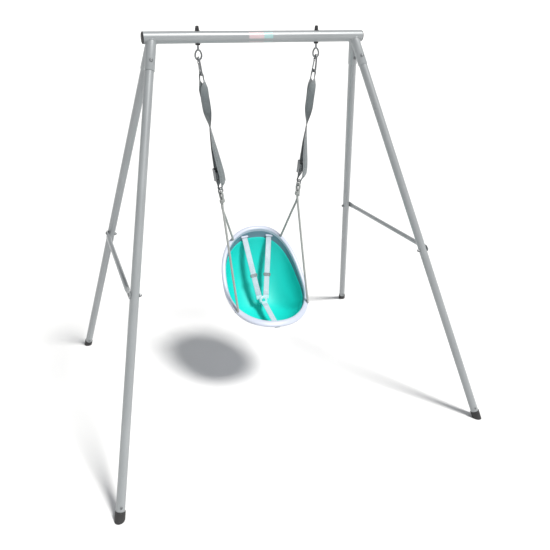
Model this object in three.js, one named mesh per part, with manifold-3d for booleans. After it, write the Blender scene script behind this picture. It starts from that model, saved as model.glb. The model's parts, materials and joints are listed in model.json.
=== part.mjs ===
// Garden swing frame with one toddler bucket seat. Millimetres, +Z up.
// The origin is on the ground under the middle of the crossbar, X runs along the bar and -Y is the front.
import * as THREE from 'three';
import Module from 'manifold-3d';
import { mergeVertices } from 'three/addons/utils/BufferGeometryUtils.js';

const wasm = await Module();
wasm.setup();

// ---- driving dimensions ----
const gap = 0.3; // clearance between touching pieces

// A-frame
const barHeight = 1800;
const barRadius = 25;
const barWall = 2;
const barHalf = 512;
const legTopX = 475; // where the leg axes meet the bar axis
const footX = 900;
const footY = 744;
const legRadius = 19;
const legWall = 1.6;
const legStart = 64; // distance along the leg axis from the bar axis
const socketRadius = 21.4;
const socketReach = 140;
const socketBoltAt = 101;
const footCapRadius = 21.8;
const footCapHeight = 38;
const footFloor = 4.5;
const footBoltAbove = 50;
const braceHeight = 832;
const braceRadius = 11;
const braceWall = 1.5;
const label = { left: -54, length: 112, from: -82, to: 50 }; // degrees below the front of the bar
const braceFlat = { thickness: 4, width: 34, reach: 17, stop: 30, taper: 34 };

// bolts: shank radius, button head, nut across corners
const bolt = { radius: 3.9, hole: 4.4, head: 7.6, headHeight: 4.4, nut: 7.4, nutHeight: 6.4, tail: 3.5 };
const smallBolt = { radius: 2.9, hole: 3.4, head: 5.6, headHeight: 3.4, nut: 5.8, nutHeight: 4.6, tail: 2.5 };

// swing hangers
const eyeX = 280;
const eyeBottom = 1710; // centre of the eye's lowest wire, the swing axis
const eye = { halfWidth: 14, halfHeight: 20, wire: 4, shank: 5, top: 1842 };
const hook = { wire: 4, topRadius: 9.6, halfWidth: 16, corner: 8, length: 63 };
const gate = { wire: 3.1, pivotZ: -7, tipZ: -45, pin: 1.5, cheek: 3.9 };
const ringX = 205;
const ringHeight = 1118;
const ring = { radius: 15, wire: 3 };
const lean = Math.atan2(eyeX - ringX, eyeBottom - ringHeight);
const ringZ = -Math.hypot(eyeX - ringX, eyeBottom - ringHeight); // ring centre below the swing axis
const webbing = { width: 38, bunched: 14, atRing: 11, ringClearance: 4, thickness: 2.4, step: 8 };
const buckle = { z: -511, turn: 30, width: 46, length: 62, wall: 2.4, back: -7.5, front: 9 };

// seat: a bucket hung a little askew, its rim sloping up to the back and dipping at the sides
const seatCentre = new THREE.Vector3(12, -70, 672);
const seatTurn = { twist: -2.2, slope: 43.8, roll: 5.5 };
const rim = { halfLength: 284, halfWidth: 228.3, egg: 0.08, dip: 65, side: 22, front: 32, skirt: 8, edge: 2.6 };
const bowl = { depth: 217, wall: 4.5, shift: -86, linerWall: 3.5 };
const ropeRadius = 5.5;
const knotRadius = 13;
const stopRadius = 7; // knot under the rim

// harness, in the seat's own frame: each strap runs straight from the buckle through a slot in the wall,
// and wall is the distance along it to the outside of the shell
const harnessStrap = { width: 30, thickness: 2.2, slotWidth: 44, slotHeight: 6, stop: 7, stopThickness: 9 };
const shoulder = { from: new THREE.Vector3(21, -56, -148), to: new THREE.Vector3(70, 238, -40), wall: 332 };
const crotch = { from: new THREE.Vector3(0, -109, -142), to: new THREE.Vector3(0, -211, -85), wall: 176 };
const harnessDrift = 6; // how far the shoulder straps lie to the right in their slots
const harnessBuckle = { radius: 23, thickness: 14, edge: 3, slope: 20, lug: 20, lugThickness: 6 };
const harnessCentre = new THREE.Vector3(0, -83, -154);
const button = { radius: 9, depth: 7, travel: 3, proud: 2 };
const adjuster = { at: 101, width: 39, length: 16, thickness: 7 };

// ---- materials ----
const paint = (color, roughness, metalness) => new THREE.MeshStandardMaterial({ color, roughness, metalness });
const silverPaint = paint(0xa9aeb0, 0.4, 0.5);
const blackPlastic = paint(0x1c1d1e, 0.6, 0);
const zinc = paint(0x8d9294, 0.35, 0.9);
const webGrey = paint(0x4e5a5f, 0.9, 0);
const ropeGrey = paint(0x8b908d, 0.9, 0);
const shellWhite = paint(0xdfe6ee, 0.45, 0);
const tealPlastic = paint(0x10cfc4, 0.5, 0);
const paleStrap = paint(0xc3d6e2, 0.85, 0);
const greyPlastic = paint(0x6f7c80, 0.5, 0);
const labelFilm = paint(0xe8d5d8, 0.4, 0);

// ---- solids ----
const object = new THREE.Group();
const at = (x, y, z) => new THREE.Vector3(x, y, z);
const degrees = THREE.MathUtils.degToRad;
const sides = [['left', -1], ['right', 1]];
const ends = [['front', -1], ['rear', 1]];

// A closed geometry as a manifold, optionally moved by a matrix first.
function solid(geometry, matrix) {
  const bare = geometry.clone();
  if (matrix) bare.applyMatrix4(matrix);
  bare.deleteAttribute('normal');
  bare.deleteAttribute('uv');
  const merged = mergeVertices(bare, 1e-3);
  const vertProperties = new Float32Array(merged.attributes.position.array);
  const triVerts = new Uint32Array(merged.index.array);
  return new wasm.Manifold(new wasm.Mesh({ numProp: 3, vertProperties, triVerts }));
}

function toGeometry(manifold) {
  const mesh = manifold.getMesh();
  const geometry = new THREE.BufferGeometry();
  geometry.setAttribute('position', new THREE.BufferAttribute(new Float32Array(mesh.vertProperties), 3));
  geometry.setIndex([...mesh.triVerts]);
  return geometry;
}

function add(name, manifold, material, parent = object) {
  const geometry = toGeometry(manifold);
  geometry.computeVertexNormals();
  const mesh = new THREE.Mesh(geometry, material);
  mesh.name = name;
  parent.add(mesh);
  return mesh;
}

const join = (first, ...others) => others.reduce((whole, piece) => whole.add(piece), first);
const cut = (first, ...others) => others.reduce((whole, piece) => whole.subtract(piece), first);

// Turns +Z onto a direction and moves the origin to a point.
function aim(origin, direction) {
  const turn = new THREE.Quaternion().setFromUnitVectors(at(0, 0, 1), direction.clone().normalize());
  return new THREE.Matrix4().compose(origin, turn, at(1, 1, 1));
}

function rod(from, to, radius, segments = 16) {
  const along = to.clone().sub(from);
  const geometry = new THREE.CylinderGeometry(radius, radius, along.length(), segments);
  geometry.rotateX(Math.PI / 2);
  return solid(geometry, aim(from.clone().add(to).multiplyScalar(0.5), along));
}

// A rod to drill with: its flats, not its corners, are at the radius.
const drillRod = (from, to, radius, segments = 8) =>
  rod(from, to, radius / Math.cos(Math.PI / segments), segments);

function block(low, high) {
  const size = high.clone().sub(low);
  const geometry = new THREE.BoxGeometry(size.x, size.y, size.z);
  return solid(geometry, new THREE.Matrix4().setPosition(low.clone().add(high).multiplyScalar(0.5)));
}

// A round bar along an open curve through the points.
function wire(points, radius, steps, segments = 8) {
  const section = new THREE.Shape();
  section.absarc(0, 0, radius, 0, 2 * Math.PI);
  const extrudePath = new THREE.CatmullRomCurve3(points, false, 'centripetal');
  return solid(new THREE.ExtrudeGeometry(section, { steps, extrudePath, curveSegments: segments / 2 }));
}

// A closed skin over rings of equally many points, with one point at each end.
function ringSolid(rings, first, last) {
  const count = rings[0].length;
  const points = [first, ...rings.flat(), last];
  const index = [];
  const id = (row, k) => 1 + row * count + (k % count);
  for (let k = 0; k < count; k += 1) {
    index.push(0, id(0, k + 1), id(0, k));
    index.push(points.length - 1, id(rings.length - 1, k), id(rings.length - 1, k + 1));
  }
  for (let row = 0; row + 1 < rings.length; row += 1) {
    for (let k = 0; k < count; k += 1) {
      index.push(id(row, k), id(row, k + 1), id(row + 1, k + 1));
      index.push(id(row, k), id(row + 1, k + 1), id(row + 1, k));
    }
  }
  const geometry = new THREE.BufferGeometry().setFromPoints(points);
  geometry.setIndex(index);
  return solid(geometry);
}

// A closed skin over the stations of a flat band, four corners each. The diagonals of both faces lean the same
// way in space, so a twisted band keeps its thickness and its two layers stay apart.
function bandSolid(corners) {
  const points = corners.flat();
  const end = points.length - 4;
  const index = [0, 3, 2, 0, 2, 1, end, end + 1, end + 2, end, end + 2, end + 3];
  for (let row = 0; row < end; row += 4) {
    for (let k = 0; k < 4; k += 1) {
      const [a, b] = [row + k, row + (k + 1) % 4];
      const [c, d] = [a + 4, b + 4];
      const rising = points[c].z > points[a].z;
      index.push(...((k < 2) === rising ? [a, b, d, a, d, c] : [a, b, c, b, d, c]));
    }
  }
  const geometry = new THREE.BufferGeometry().setFromPoints(points);
  geometry.setIndex(index);
  return solid(geometry);
}

// Button-head bolt with its nut, head up, its clamped stack between z = 0 and z = -grip.
function fastener(size, grip) {
  const end = -grip - size.nutHeight - size.tail;
  const profile = [[0, size.headHeight], [size.head * 0.6, size.headHeight * 0.8], [size.head, 0],
    [size.radius, 0], [size.radius, end], [0, end]];
  const turned = new THREE.LatheGeometry(profile.map(([x, y]) => new THREE.Vector2(x, y)).reverse(), 8);
  turned.rotateX(Math.PI / 2);
  const nut = new THREE.CylinderGeometry(size.nut, size.nut, size.nutHeight, 6);
  nut.rotateX(Math.PI / 2);
  nut.translate(0, 0, -grip - size.nutHeight / 2);
  return join(solid(turned), solid(nut));
}

// ---- A-frame ----
const legDirection = (sideSign, endSign) =>
  at(sideSign * (footX - legTopX), endSign * footY, -barHeight).normalize();
const legTop = (sideSign) => at(sideSign * legTopX, 0, barHeight);
const alongLeg = (sideSign, endSign, distance) =>
  legTop(sideSign).addScaledVector(legDirection(sideSign, endSign), distance);
const legLength = Math.hypot(footX - legTopX, footY, barHeight);

// Across a leg, as near to straight forwards or backwards as a square hole allows.
function acrossLeg(sideSign, endSign) {
  const along = legDirection(sideSign, endSign);
  const out = at(0, endSign, 0);
  return out.addScaledVector(along, -out.dot(along)).normalize();
}

const barSolid = (radius, half) => rod(at(-half, 0, barHeight), at(half, 0, barHeight), radius, 24);

function buildCrossbar() {
  const eyeHoles = sides.map(([, sign]) =>
    drillRod(at(sign * eyeX, 0, barHeight - 40), at(sign * eyeX, 0, barHeight + 40), eye.shank + gap, 10));
  add('crossbar', cut(barSolid(barRadius, barHalf), barSolid(barRadius - barWall, barHalf + 1), ...eyeHoles),
    silverPaint);
  const profile = [[0, 7], [barRadius * 0.6, 6.4], [barRadius - 1.5, 4.2], [barRadius, 2], [barRadius, gap],
    [barRadius - barWall - gap, gap], [barRadius - barWall - gap, -16], [0, -16]];
  for (const [name, sign] of sides) {
    const cap = new THREE.LatheGeometry(profile.map(([x, y]) => new THREE.Vector2(x, y)).reverse(), 20);
    cap.rotateZ(-sign * Math.PI / 2);
    cap.translate(sign * barHalf, 0, barHeight);
    add(`crossbar_cap_${name}`, solid(cap), blackPlastic);
  }
}

// Thin film wrapped round the front of the bar.
function buildLabel() {
  const film = new THREE.Shape();
  const [inner, outer] = [barRadius + 0.2, barRadius + 0.9];
  const [from, to] = [degrees(label.from), degrees(label.to)];
  film.absarc(0, 0, outer, from, to, false);
  film.absarc(0, 0, inner, to, from, true);
  const extent = { depth: label.length, bevelEnabled: false, curveSegments: 9 };
  const geometry = new THREE.ExtrudeGeometry(film, extent);
  geometry.rotateY(Math.PI / 2);
  geometry.rotateX(-Math.PI / 2);
  geometry.translate(label.left, 0, barHeight);
  add('crossbar_label', solid(geometry), labelFilm);
}

function buildLeg(name, sideSign, endSign) {
  const point = (distance) => alongLeg(sideSign, endSign, distance);
  const across = acrossLeg(sideSign, endSign);
  const sideways = at(sideSign, 0, 0);
  const along = legDirection(sideSign, endSign);
  sideways.addScaledVector(along, -sideways.dot(along));
  sideways.y = 0;
  sideways.normalize();
  const ground = block(at(-2000, -2000, -400), at(2000, 2000, 0));
  const raised = block(at(-2000, -2000, -400), at(2000, 2000, footFloor + gap));
  const drill = (centre, axis, radius) =>
    drillRod(centre.clone().addScaledVector(axis, -40), centre.clone().addScaledVector(axis, 40), radius, 6);

  const socketBolt = point(socketBoltAt);
  const footBolt = point(legLength - footBoltAbove / -along.z);
  const braceBolt = point((barHeight - braceHeight) / -along.z);
  const socketHole = drill(socketBolt, across, bolt.hole);
  const footHole = drill(footBolt, across, smallBolt.hole);
  const braceHole = drill(braceBolt, sideways, bolt.hole);

  const mitre = endSign < 0
    ? block(at(-2000, -0.2, 1000), at(2000, 400, 2000))
    : block(at(-2000, -400, 1000), at(2000, 0.2, 2000));
  add(`leg_socket_${name}`, cut(rod(point(0), point(socketReach), socketRadius),
    rod(point(-5), point(socketReach + 5), legRadius + gap), barSolid(barRadius + gap, barHalf), mitre,
    socketHole), silverPaint);

  add(`leg_${name}`, cut(rod(point(legStart), point(legLength + 60), legRadius),
    rod(point(legStart - 5), point(legLength + 70), legRadius - legWall), raised,
    socketHole, braceHole, footHole), silverPaint);

  const inside = cut(rod(point(legLength - 200), point(legLength + 60), legRadius + gap), block(
    at(-2000, -2000, -400), at(2000, 2000, footFloor)));
  add(`foot_cap_${name}`, cut(rod(point(legLength - footCapHeight), point(legLength + 60), footCapRadius),
    ground, inside), blackPlastic);

  const bolts = [['socket_bolt', socketBolt, across, bolt, socketRadius],
    ['foot_bolt', footBolt, across, smallBolt, legRadius]];
  for (const [kind, centre, axis, size, radius] of bolts) {
    const seat = centre.clone().addScaledVector(axis, radius + gap);
    const piece = fastener(size, 2 * (radius + gap));
    add(`${kind}_${name}`, piece.transform(aim(seat, axis).toArray()), zinc);
  }
  const plateOutside = legRadius + 2 * gap + braceFlat.thickness;
  const seat = braceBolt.clone().addScaledVector(sideways, plateOutside + gap);
  add(`brace_bolt_${name}`, fastener(bolt, plateOutside + legRadius + 2 * gap)
    .transform(aim(seat, sideways).toArray()), zinc);
  return { braceBolt, sideways };
}

// A tube pressed flat at both ends where it is bolted to the outside of the legs.
function buildBrace(name, sideSign, braceBolt, sideways) {
  const half = Math.abs(braceBolt.y);
  const flatEnd = half - braceFlat.stop;
  const roundFrom = flatEnd - braceFlat.taper;
  const stations = [half + braceFlat.reach, half + braceFlat.reach * 0.75, half, flatEnd];
  for (const share of [0.25, 0.5, 0.75, 1]) stations.push(flatEnd - share * braceFlat.taper);
  const rows = [...stations, ...stations.map((y) => -y).reverse()];
  const tube = new THREE.CylinderGeometry(1, 1, 1, 12, rows.length - 1);
  const position = tube.attributes.position;
  const power = (value, exponent) => Math.sign(value) * Math.abs(value) ** exponent;
  for (let i = 0; i < position.count; i += 1) {
    const y = rows[Math.round((0.5 - position.getY(i)) * (rows.length - 1))];
    const flat = THREE.MathUtils.smoothstep(Math.abs(y), roundFrom, flatEnd);
    const tip = THREE.MathUtils.clamp((Math.abs(y) - half) / braceFlat.reach, 0, 1);
    const narrow = Math.sqrt(1 - 0.85 * tip * tip);
    const [x, z] = [position.getX(i), position.getZ(i)];
    const flatX = braceFlat.thickness / 2 * power(x, 0.5);
    position.setXYZ(i, THREE.MathUtils.lerp(braceRadius * x, flatX, flat), y,
      THREE.MathUtils.lerp(braceRadius * z, braceFlat.width / 2 * power(z, 0.8) * narrow, flat));
  }
  const reach = roundFrom - 2;
  const hollow = rod(at(0, -reach, 0), at(0, reach, 0), braceRadius - braceWall, 12);
  const drain = rod(at(0, 0, -20), at(0, 0, 0), 2.5, 8);
  const holes = ends.map(([, sign]) => drillRod(at(-20, sign * half, 0), at(20, sign * half, 0), bolt.hole, 6));
  const matrix = new THREE.Matrix4().makeBasis(sideways, at(0, 1, 0), sideways.clone().cross(at(0, 1, 0)));
  const centre = braceBolt.clone().setY(0).addScaledVector(sideways, legRadius + gap + braceFlat.thickness / 2);
  matrix.setPosition(centre);
  add(`brace_${name}`, cut(solid(tube), hollow, drain, ...holes).transform(matrix.toArray()), silverPaint);
}

function buildFrame() {
  buildCrossbar();
  buildLabel();
  for (const [side, sideSign] of sides) {
    let fixing;
    for (const [end, endSign] of ends) fixing = buildLeg(`${end}_${side}`, sideSign, endSign);
    buildBrace(side, sideSign, fixing.braceBolt, fixing.sideways);
  }
}

// ---- swing hangers ----
// Eye bolt through the bar, its cap nut on top, and the bush under the bar.
function buildEyeBolt(side, sign) {
  const x = sign * eyeX;
  const centre = eyeBottom + eye.halfHeight;
  const points = [];
  for (let step = 0; step <= 20; step += 1) {
    const angle = step / 20 * 2 * Math.PI;
    const across = eye.halfWidth * Math.sin(angle) * (1 - 0.16 * Math.cos(angle));
    points.push(at(x + across, 0, centre + eye.halfHeight * Math.cos(angle)));
  }
  const loop = wire(points, eye.wire, 16);
  const neck = centre + eye.halfHeight;
  add(`eye_bolt_${side}`, join(loop, rod(at(x, 0, neck - 4.4), at(x, 0, eye.top), eye.shank, 10)), zinc);

  const bore = drillRod(at(x, 0, 1700), at(x, 0, eye.top + 1), eye.shank + gap, 10);
  const nutLow = barHeight + barRadius + gap;
  const washer = rod(at(x, 0, nutLow), at(x, 0, nutLow + 2), 11);
  const nut = rod(at(x, 0, nutLow + 2), at(x, 0, nutLow + 12), 9.2, 6);
  const cap = rod(at(x, 0, nutLow + 12), at(x, 0, eye.top + 4), 7.6, 12);
  add(`eye_bolt_nut_${side}`, cut(join(washer, nut, cap), bore), blackPlastic);

  const bushTop = barHeight - barRadius - gap;
  add(`eye_bush_${side}`, cut(rod(at(x, 0, bushTop - 6), at(x, 0, bushTop), 11), bore), blackPlastic);
}

function arcPoints(centreY, centreZ, radius, from, to, count) {
  const points = [];
  for (let step = 0; step <= count; step += 1) {
    const angle = degrees(from + (to - from) * step / count);
    points.push(at(0, centreY + radius * Math.cos(angle), centreZ + radius * Math.sin(angle)));
  }
  return points;
}

// Snap hook in the hanger's own frame: swing axis at the origin, hanging along -Z, in the Y-Z plane.
function buildHook(side, hanger) {
  const { halfWidth, corner, length, topRadius } = hook;
  const pivot = at(0, topRadius + 0.3, gate.pivotZ);
  const points = [
    at(0, halfWidth, gate.tipZ + 1),
    ...arcPoints(halfWidth - corner, -length + corner, corner, 0, -90, 4),
    ...arcPoints(-halfWidth + corner, -length + corner, corner, -90, -180, 4),
    at(0, -halfWidth + 2, -24),
    ...arcPoints(0, 0, topRadius, 170, 0, 8),
    at(0, pivot.y, gate.pivotZ - 2.6),
  ];
  const frame = wire(points, hook.wire, 30);
  const tongue = [-1, 1].map((sign) => {
    const [near, far] = [sign * 1.9, sign * 6].sort((a, b) => a - b);
    return block(at(near, pivot.y - 8, gate.pivotZ - 8), at(far, pivot.y + 8, gate.pivotZ + 4.2));
  });
  const notch = [-1, 1].map((sign) => {
    const [near, far] = [sign * 1.2, sign * 6].sort((a, b) => a - b);
    return block(at(near, halfWidth - 8, gate.tipZ - 4), at(far, halfWidth + 8, gate.tipZ + 6));
  });
  const pin = rod(at(-gate.cheek, pivot.y, pivot.z), at(gate.cheek, pivot.y, pivot.z), gate.pin, 8);
  add(`hook_body_${side}`, join(cut(frame, ...tongue, ...notch), pin), zinc, hanger);

  const tip = at(0, halfWidth, gate.tipZ);
  const bar = rod(pivot.clone().lerp(tip, 0.13), tip, gate.wire, 10);
  const cheeks = rod(at(-gate.cheek, pivot.y, pivot.z), at(gate.cheek, pivot.y, pivot.z), 3.4, 12);
  const fork = join(cheeks, rod(pivot, pivot.clone().lerp(tip, 0.24), gate.wire + 0.2, 10));
  const slotTop = block(at(-2.2, pivot.y - 9, pivot.z - 4.6), at(2.2, pivot.y + 9, pivot.z + 9));
  const slotTip = block(at(-1.6, halfWidth - 9, gate.tipZ - 6), at(1.6, halfWidth + 9, gate.tipZ + 4.4));
  const bore = drillRod(at(-9, pivot.y, pivot.z), at(9, pivot.y, pivot.z), gate.pin + 0.15, 8);
  add(`hook_gate_${side}`, cut(join(bar, fork), slotTop, slotTip, bore), zinc, hanger);
}

// How far the webbing is turned, and how wide it lies, at a height in the hanger's frame.
const turnStops = [[-50, 270], [-70, 268], [-112, 205], [-165, 160], [-215, 148], [-300, 68], [-390, 40],
  [-470, buckle.turn], [ringZ - 40, buckle.turn]];
const widthStops = [[-50, webbing.bunched], [-70, webbing.bunched], [-120, webbing.width],
  [-545, webbing.width], [-574, webbing.atRing], [ringZ - 40, webbing.atRing]];

function between(stops, z) {
  const next = Math.max(1, stops.findIndex(([height]) => height <= z));
  const [[high, first], [low, second]] = [stops[next - 1], stops[next]];
  return first + (second - first) * THREE.MathUtils.clamp((high - z) / (high - low), 0, 1);
}

// One band of webbing: out of the cam buckle, over the hook, down past the buckle, round the ring and back in.
function buildStrap(side, hanger) {
  const bend = hook.wire + gap + webbing.thickness / 2;
  const ringBend = ring.wire + webbing.ringClearance + webbing.thickness / 2;
  const ringTop = ringZ + ring.radius;
  const centre = [[0, -506], [-0.6, -470], [-1, -400], [-1.6, -300], [-2.5, -215], [-7, -120],
    [-bend - 1, -84]];
  for (const angle of [180, 150, 120, 90, 60, 30, 0]) {
    centre.push([bend * Math.cos(degrees(angle)), -hook.length + bend * Math.sin(degrees(angle))]);
  }
  centre.push([bend + 3, -84], [8, -120], [2.5, -215], [2, -300], [5, -370], [13, -430], [22, -480], [27, -520],
    [25, -552], [14, ringTop + 12]);
  for (const angle of [0, -45, -90, -135, -180]) {
    centre.push([ringBend * Math.cos(degrees(angle)), ringTop + ringBend * Math.sin(degrees(angle))]);
  }
  centre.push([-4, -566], [-1, -546], [0, -514]);

  const curve = new THREE.CatmullRomCurve3(centre.map(([p, z]) => at(p, z, 0)), false, 'centripetal');
  const stations = [];
  centre.slice(1).forEach(([p, z], k) => {
    const pieces = Math.max(2, Math.round(Math.hypot(p - centre[k][0], z - centre[k][1]) / webbing.step));
    for (let piece = 0; piece < pieces; piece += 1) stations.push((k + piece / pieces) / (centre.length - 1));
  });
  const corners = [...stations, 1].map((share) => {
    const [point, tangent] = [curve.getPoint(share), curve.getTangent(share)];
    const turn = degrees(between(turnStops, point.y));
    const half = between(widthStops, point.y) / 2;
    return [[-half, 1], [half, 1], [half, -1], [-half, -1]].map(([across, face]) => {
      const offset = face * webbing.thickness / 2;
      const [p, z] = [point.x + tangent.y * offset, point.y - tangent.x * offset];
      return at(p * Math.sin(turn) + across * Math.cos(turn), across * Math.sin(turn) - p * Math.cos(turn), z);
    });
  });
  add(`strap_${side}`, bandSolid(corners), webGrey, hanger);
}

// Cam buckle: a folded sheet housing with a pin, and a sprung lever with its toothed cam.
function buildBuckle(side, hanger) {
  const group = new THREE.Group();
  group.position.set(0, 0, buckle.z);
  group.rotation.z = degrees(buckle.turn);
  hanger.add(group);
  const [halfWidth, halfLength, wall] = [buckle.width / 2, buckle.length / 2, buckle.wall];
  const [backY, frontY] = [-buckle.back, -buckle.front]; // -Y is the front
  const plate = block(at(-halfWidth, backY - wall, -halfLength), at(halfWidth, backY, halfLength));
  const cheek = (sign) => block(at(Math.min(sign * halfWidth, sign * (halfWidth - wall)), frontY, -halfLength),
    at(Math.max(sign * halfWidth, sign * (halfWidth - wall)), backY, halfLength - 6));
  const bars = [halfLength - 10, -halfLength + 4].map((z) =>
    rod(at(-halfWidth, -1 - 4.6, z), at(halfWidth, -1 - 4.6, z), 2.6, 10));
  const pinAt = at(0, -7, 6);
  const pin = rod(at(-halfWidth - 1.2, pinAt.y, pinAt.z), at(halfWidth + 1.2, pinAt.y, pinAt.z), 2.2, 8);
  add(`cam_buckle_${side}`, join(plate, cheek(-1), cheek(1), ...bars, pin), zinc, group);

  const inner = halfWidth - wall - 0.8;
  const barrel = rod(at(-inner, pinAt.y, pinAt.z), at(inner, pinAt.y, pinAt.z), 4.6, 12);
  const handle = block(at(-inner, pinAt.y - 7.5, pinAt.z - 27), at(inner, pinAt.y - 4.7, pinAt.z + 1));
  const web = block(at(-inner, pinAt.y - 5.5, pinAt.z - 3), at(inner, pinAt.y, pinAt.z + 1));
  const bore = drillRod(at(-40, pinAt.y, pinAt.z), at(40, pinAt.y, pinAt.z), 2.4, 8);
  add(`cam_lever_${side}`, cut(join(barrel, handle, web), bore), greyPlastic, group);
}

function buildRing(side, hanger) {
  const geometry = new THREE.TorusGeometry(ring.radius, ring.wire, 8, 20);
  geometry.rotateX(Math.PI / 2);
  geometry.rotateZ(degrees(buckle.turn));
  geometry.translate(0, 0, ringZ);
  add(`ring_${side}`, solid(geometry), zinc, hanger);
}

// ---- seat ----
const seatMatrix = new THREE.Matrix4().makeTranslation(seatCentre)
  .multiply(new THREE.Matrix4().makeRotationZ(degrees(seatTurn.twist)))
  .multiply(new THREE.Matrix4().makeRotationX(degrees(seatTurn.slope)))
  .multiply(new THREE.Matrix4().makeRotationY(degrees(seatTurn.roll)));

// Rim outline in the seat's own frame: +X right, +Y up the slope to the back, +Z out of the bucket.
function outlinePoint(angle) {
  const [across, along] = [Math.sin(angle), Math.cos(angle)];
  const exponent = THREE.MathUtils.lerp(2.15, 2.5, THREE.MathUtils.smoothstep(along, -0.5, 0.5));
  const size = (Math.abs(across) ** exponent + Math.abs(along) ** exponent) ** (-1 / exponent);
  const width = rim.halfWidth * (1 - rim.egg * along * size);
  return { x: width * across * size, y: rim.halfLength * along * size, across: Math.abs(across * size) };
}

const lipWidth = (angle) =>
  THREE.MathUtils.lerp(rim.side, rim.front, THREE.MathUtils.smoothstep(-Math.cos(angle), 0.35, 0.95));
const sideDip = (across) => -rim.dip * across * across;

// A point on the rim, inset from its outer edge and raised out of the bucket.
function lipPoint(angle, inset, raise) {
  const edge = outlinePoint(angle);
  const length = Math.hypot(edge.x, edge.y);
  const share = 1 - inset / length;
  return at(edge.x * share, edge.y * share, sideDip(edge.across) + raise);
}

// A point on the bucket wall: 0 at the rim and 90 at the deepest place, offset outwards by a thickness.
function bowlPoint(angle, slope, outward) {
  const edge = outlinePoint(angle);
  const length = Math.hypot(edge.x, edge.y);
  const [cosine, sine] = [Math.cos(degrees(slope)), Math.sin(degrees(slope))];
  const share = 1 - lipWidth(angle) / length;
  const reach = cosine ** 1.25;
  const grow = 1 + outward * cosine / (0.8 * length);
  return at(edge.x * share * reach * grow, edge.y * share * reach * grow + bowl.shift * slope / 90,
    sideDip(edge.across) * cosine - bowl.depth * sine - outward * sine);
}

const around = Array.from({ length: 28 }, (_, k) => k / 28 * 2 * Math.PI);
const slopes = [4, 16, 28, 41, 54, 67, 80];

function buildShell() {
  const lip = (inset, raise) => around.map((angle) => lipPoint(angle, inset(lipWidth(angle)), raise));
  const wallRing = (slope, outward) => around.map((angle) => bowlPoint(angle, slope, outward));
  const inside = [...slopes].reverse().map((slope) => wallRing(slope, 0));
  const outside = slopes.map((slope) => wallRing(slope, bowl.wall));
  const rings = [
    ...inside,
    lip((width) => width, 0), lip((width) => width * 0.86, 3.2), lip((width) => width * 0.5, 4.6),
    lip(() => 3, 3.4), lip(() => 0.4, 0.6), lip(() => 0, -rim.skirt), lip(() => rim.edge, -rim.skirt),
    lip(() => rim.edge + 0.6, -1.8), lip((width) => width - bowl.wall - 1.5, -1.8),
    ...outside,
  ];
  const deepest = at(0, bowl.shift, -bowl.depth);
  return ringSolid(rings, deepest, deepest.clone().setZ(-bowl.depth - bowl.wall));
}

const linerGap = 0.8;
// Share of the wall's first step left bare above the liner, most at the back.
const linerTop = (angle) => 0.38 + 0.37 * Math.cos(angle);

function buildLiner() {
  const wall = (outward) => slopes.map((slope, row) => around.map((angle) => {
    const point = bowlPoint(angle, slope, outward);
    return row === 0 ? point.lerp(bowlPoint(angle, slopes[1], outward), linerTop(angle)) : point;
  }));
  const [outside, inside] = [wall(-linerGap), wall(-linerGap - bowl.linerWall)];
  const deepest = at(0, bowl.shift, linerGap - bowl.depth);
  return ringSolid([...inside.reverse(), ...outside],
    deepest.clone().setZ(deepest.z + bowl.linerWall), deepest);
}

const ropeHoles = {
  front: { angle: degrees(124.4), inset: 10 },
  rear: { angle: degrees(39.1), inset: 10 },
};

function ropeHole(sign, end) {
  const { angle, inset } = ropeHoles[end];
  return lipPoint(sign * angle, inset, 0).applyMatrix4(seatMatrix);
}

const seatUp = at(0, 0, 1).transformDirection(seatMatrix);

// A rope from the ring, knotted under it, split to the front and the back of the seat rim.
function buildRope(side, sign) {
  const hangerMatrix = new THREE.Matrix4().makeRotationY(sign * lean).setPosition(sign * eyeX, 0, eyeBottom);
  const turn = degrees(buckle.turn);
  const place = (p, z) => at(p * Math.sin(turn), -p * Math.cos(turn), z).applyMatrix4(hangerMatrix);
  const bend = ring.wire + 0.4 + ropeRadius;
  const low = ringZ - ring.radius;
  const loop = [place(-3, low - 34), place(-bend, low - 10)];
  for (const angle of [180, 135, 90, 45, 0]) {
    loop.push(place(bend * Math.cos(degrees(angle)), low + bend * Math.sin(degrees(angle))));
  }
  loop.push(place(bend, low - 10), place(3, low - 34));
  const knotCentre = place(0, low - 36);
  const knot = new THREE.SphereGeometry(knotRadius, 8, 6);
  knot.scale(1, 1, 1.35);
  const pieces = [wire(loop, ropeRadius, 14), solid(knot, new THREE.Matrix4().setPosition(knotCentre))];
  for (const [end, endSign] of ends) {
    const hole = ropeHole(sign, end);
    const split = knotCentre.clone().add(at(0, endSign * 4, -36));
    const above = hole.clone().addScaledVector(seatUp, 14);
    const below = hole.clone().addScaledVector(seatUp, -20);
    const route = [knotCentre, split, split.clone().lerp(above, 0.35), split.clone().lerp(above, 0.7),
      above, hole.clone().addScaledVector(seatUp, 5), hole.clone().addScaledVector(seatUp, -4), below];
    pieces.push(wire(route, ropeRadius, end === 'front' ? 15 : 10));
    const stop = new THREE.SphereGeometry(stopRadius, 8, 5);
    pieces.push(solid(stop, new THREE.Matrix4().setPosition(hole.clone().addScaledVector(seatUp, -18))));
  }
  add(`rope_${side}`, join(...pieces), ropeGrey);
}

// The frame of a straight strap: +Y along it from the buckle, +Z up off the seat.
function strapMatrix({ from, to }, sign, drift = 0) {
  const start = at(sign * from.x, from.y, from.z);
  const along = at(sign * to.x + drift, to.y, to.z).sub(start).normalize();
  const across = at(1, 0, 0).addScaledVector(along, -along.x).normalize();
  return new THREE.Matrix4().makeBasis(across, along, across.clone().cross(along)).setPosition(start);
}

// A block across a strap, in the strap's frame.
const strapBlock = (width, fromY, toY, height) =>
  block(at(-width / 2, fromY, -height / 2), at(width / 2, toY, height / 2));
const placed = (manifold, matrix) => manifold.transform(matrix.toArray());

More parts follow.
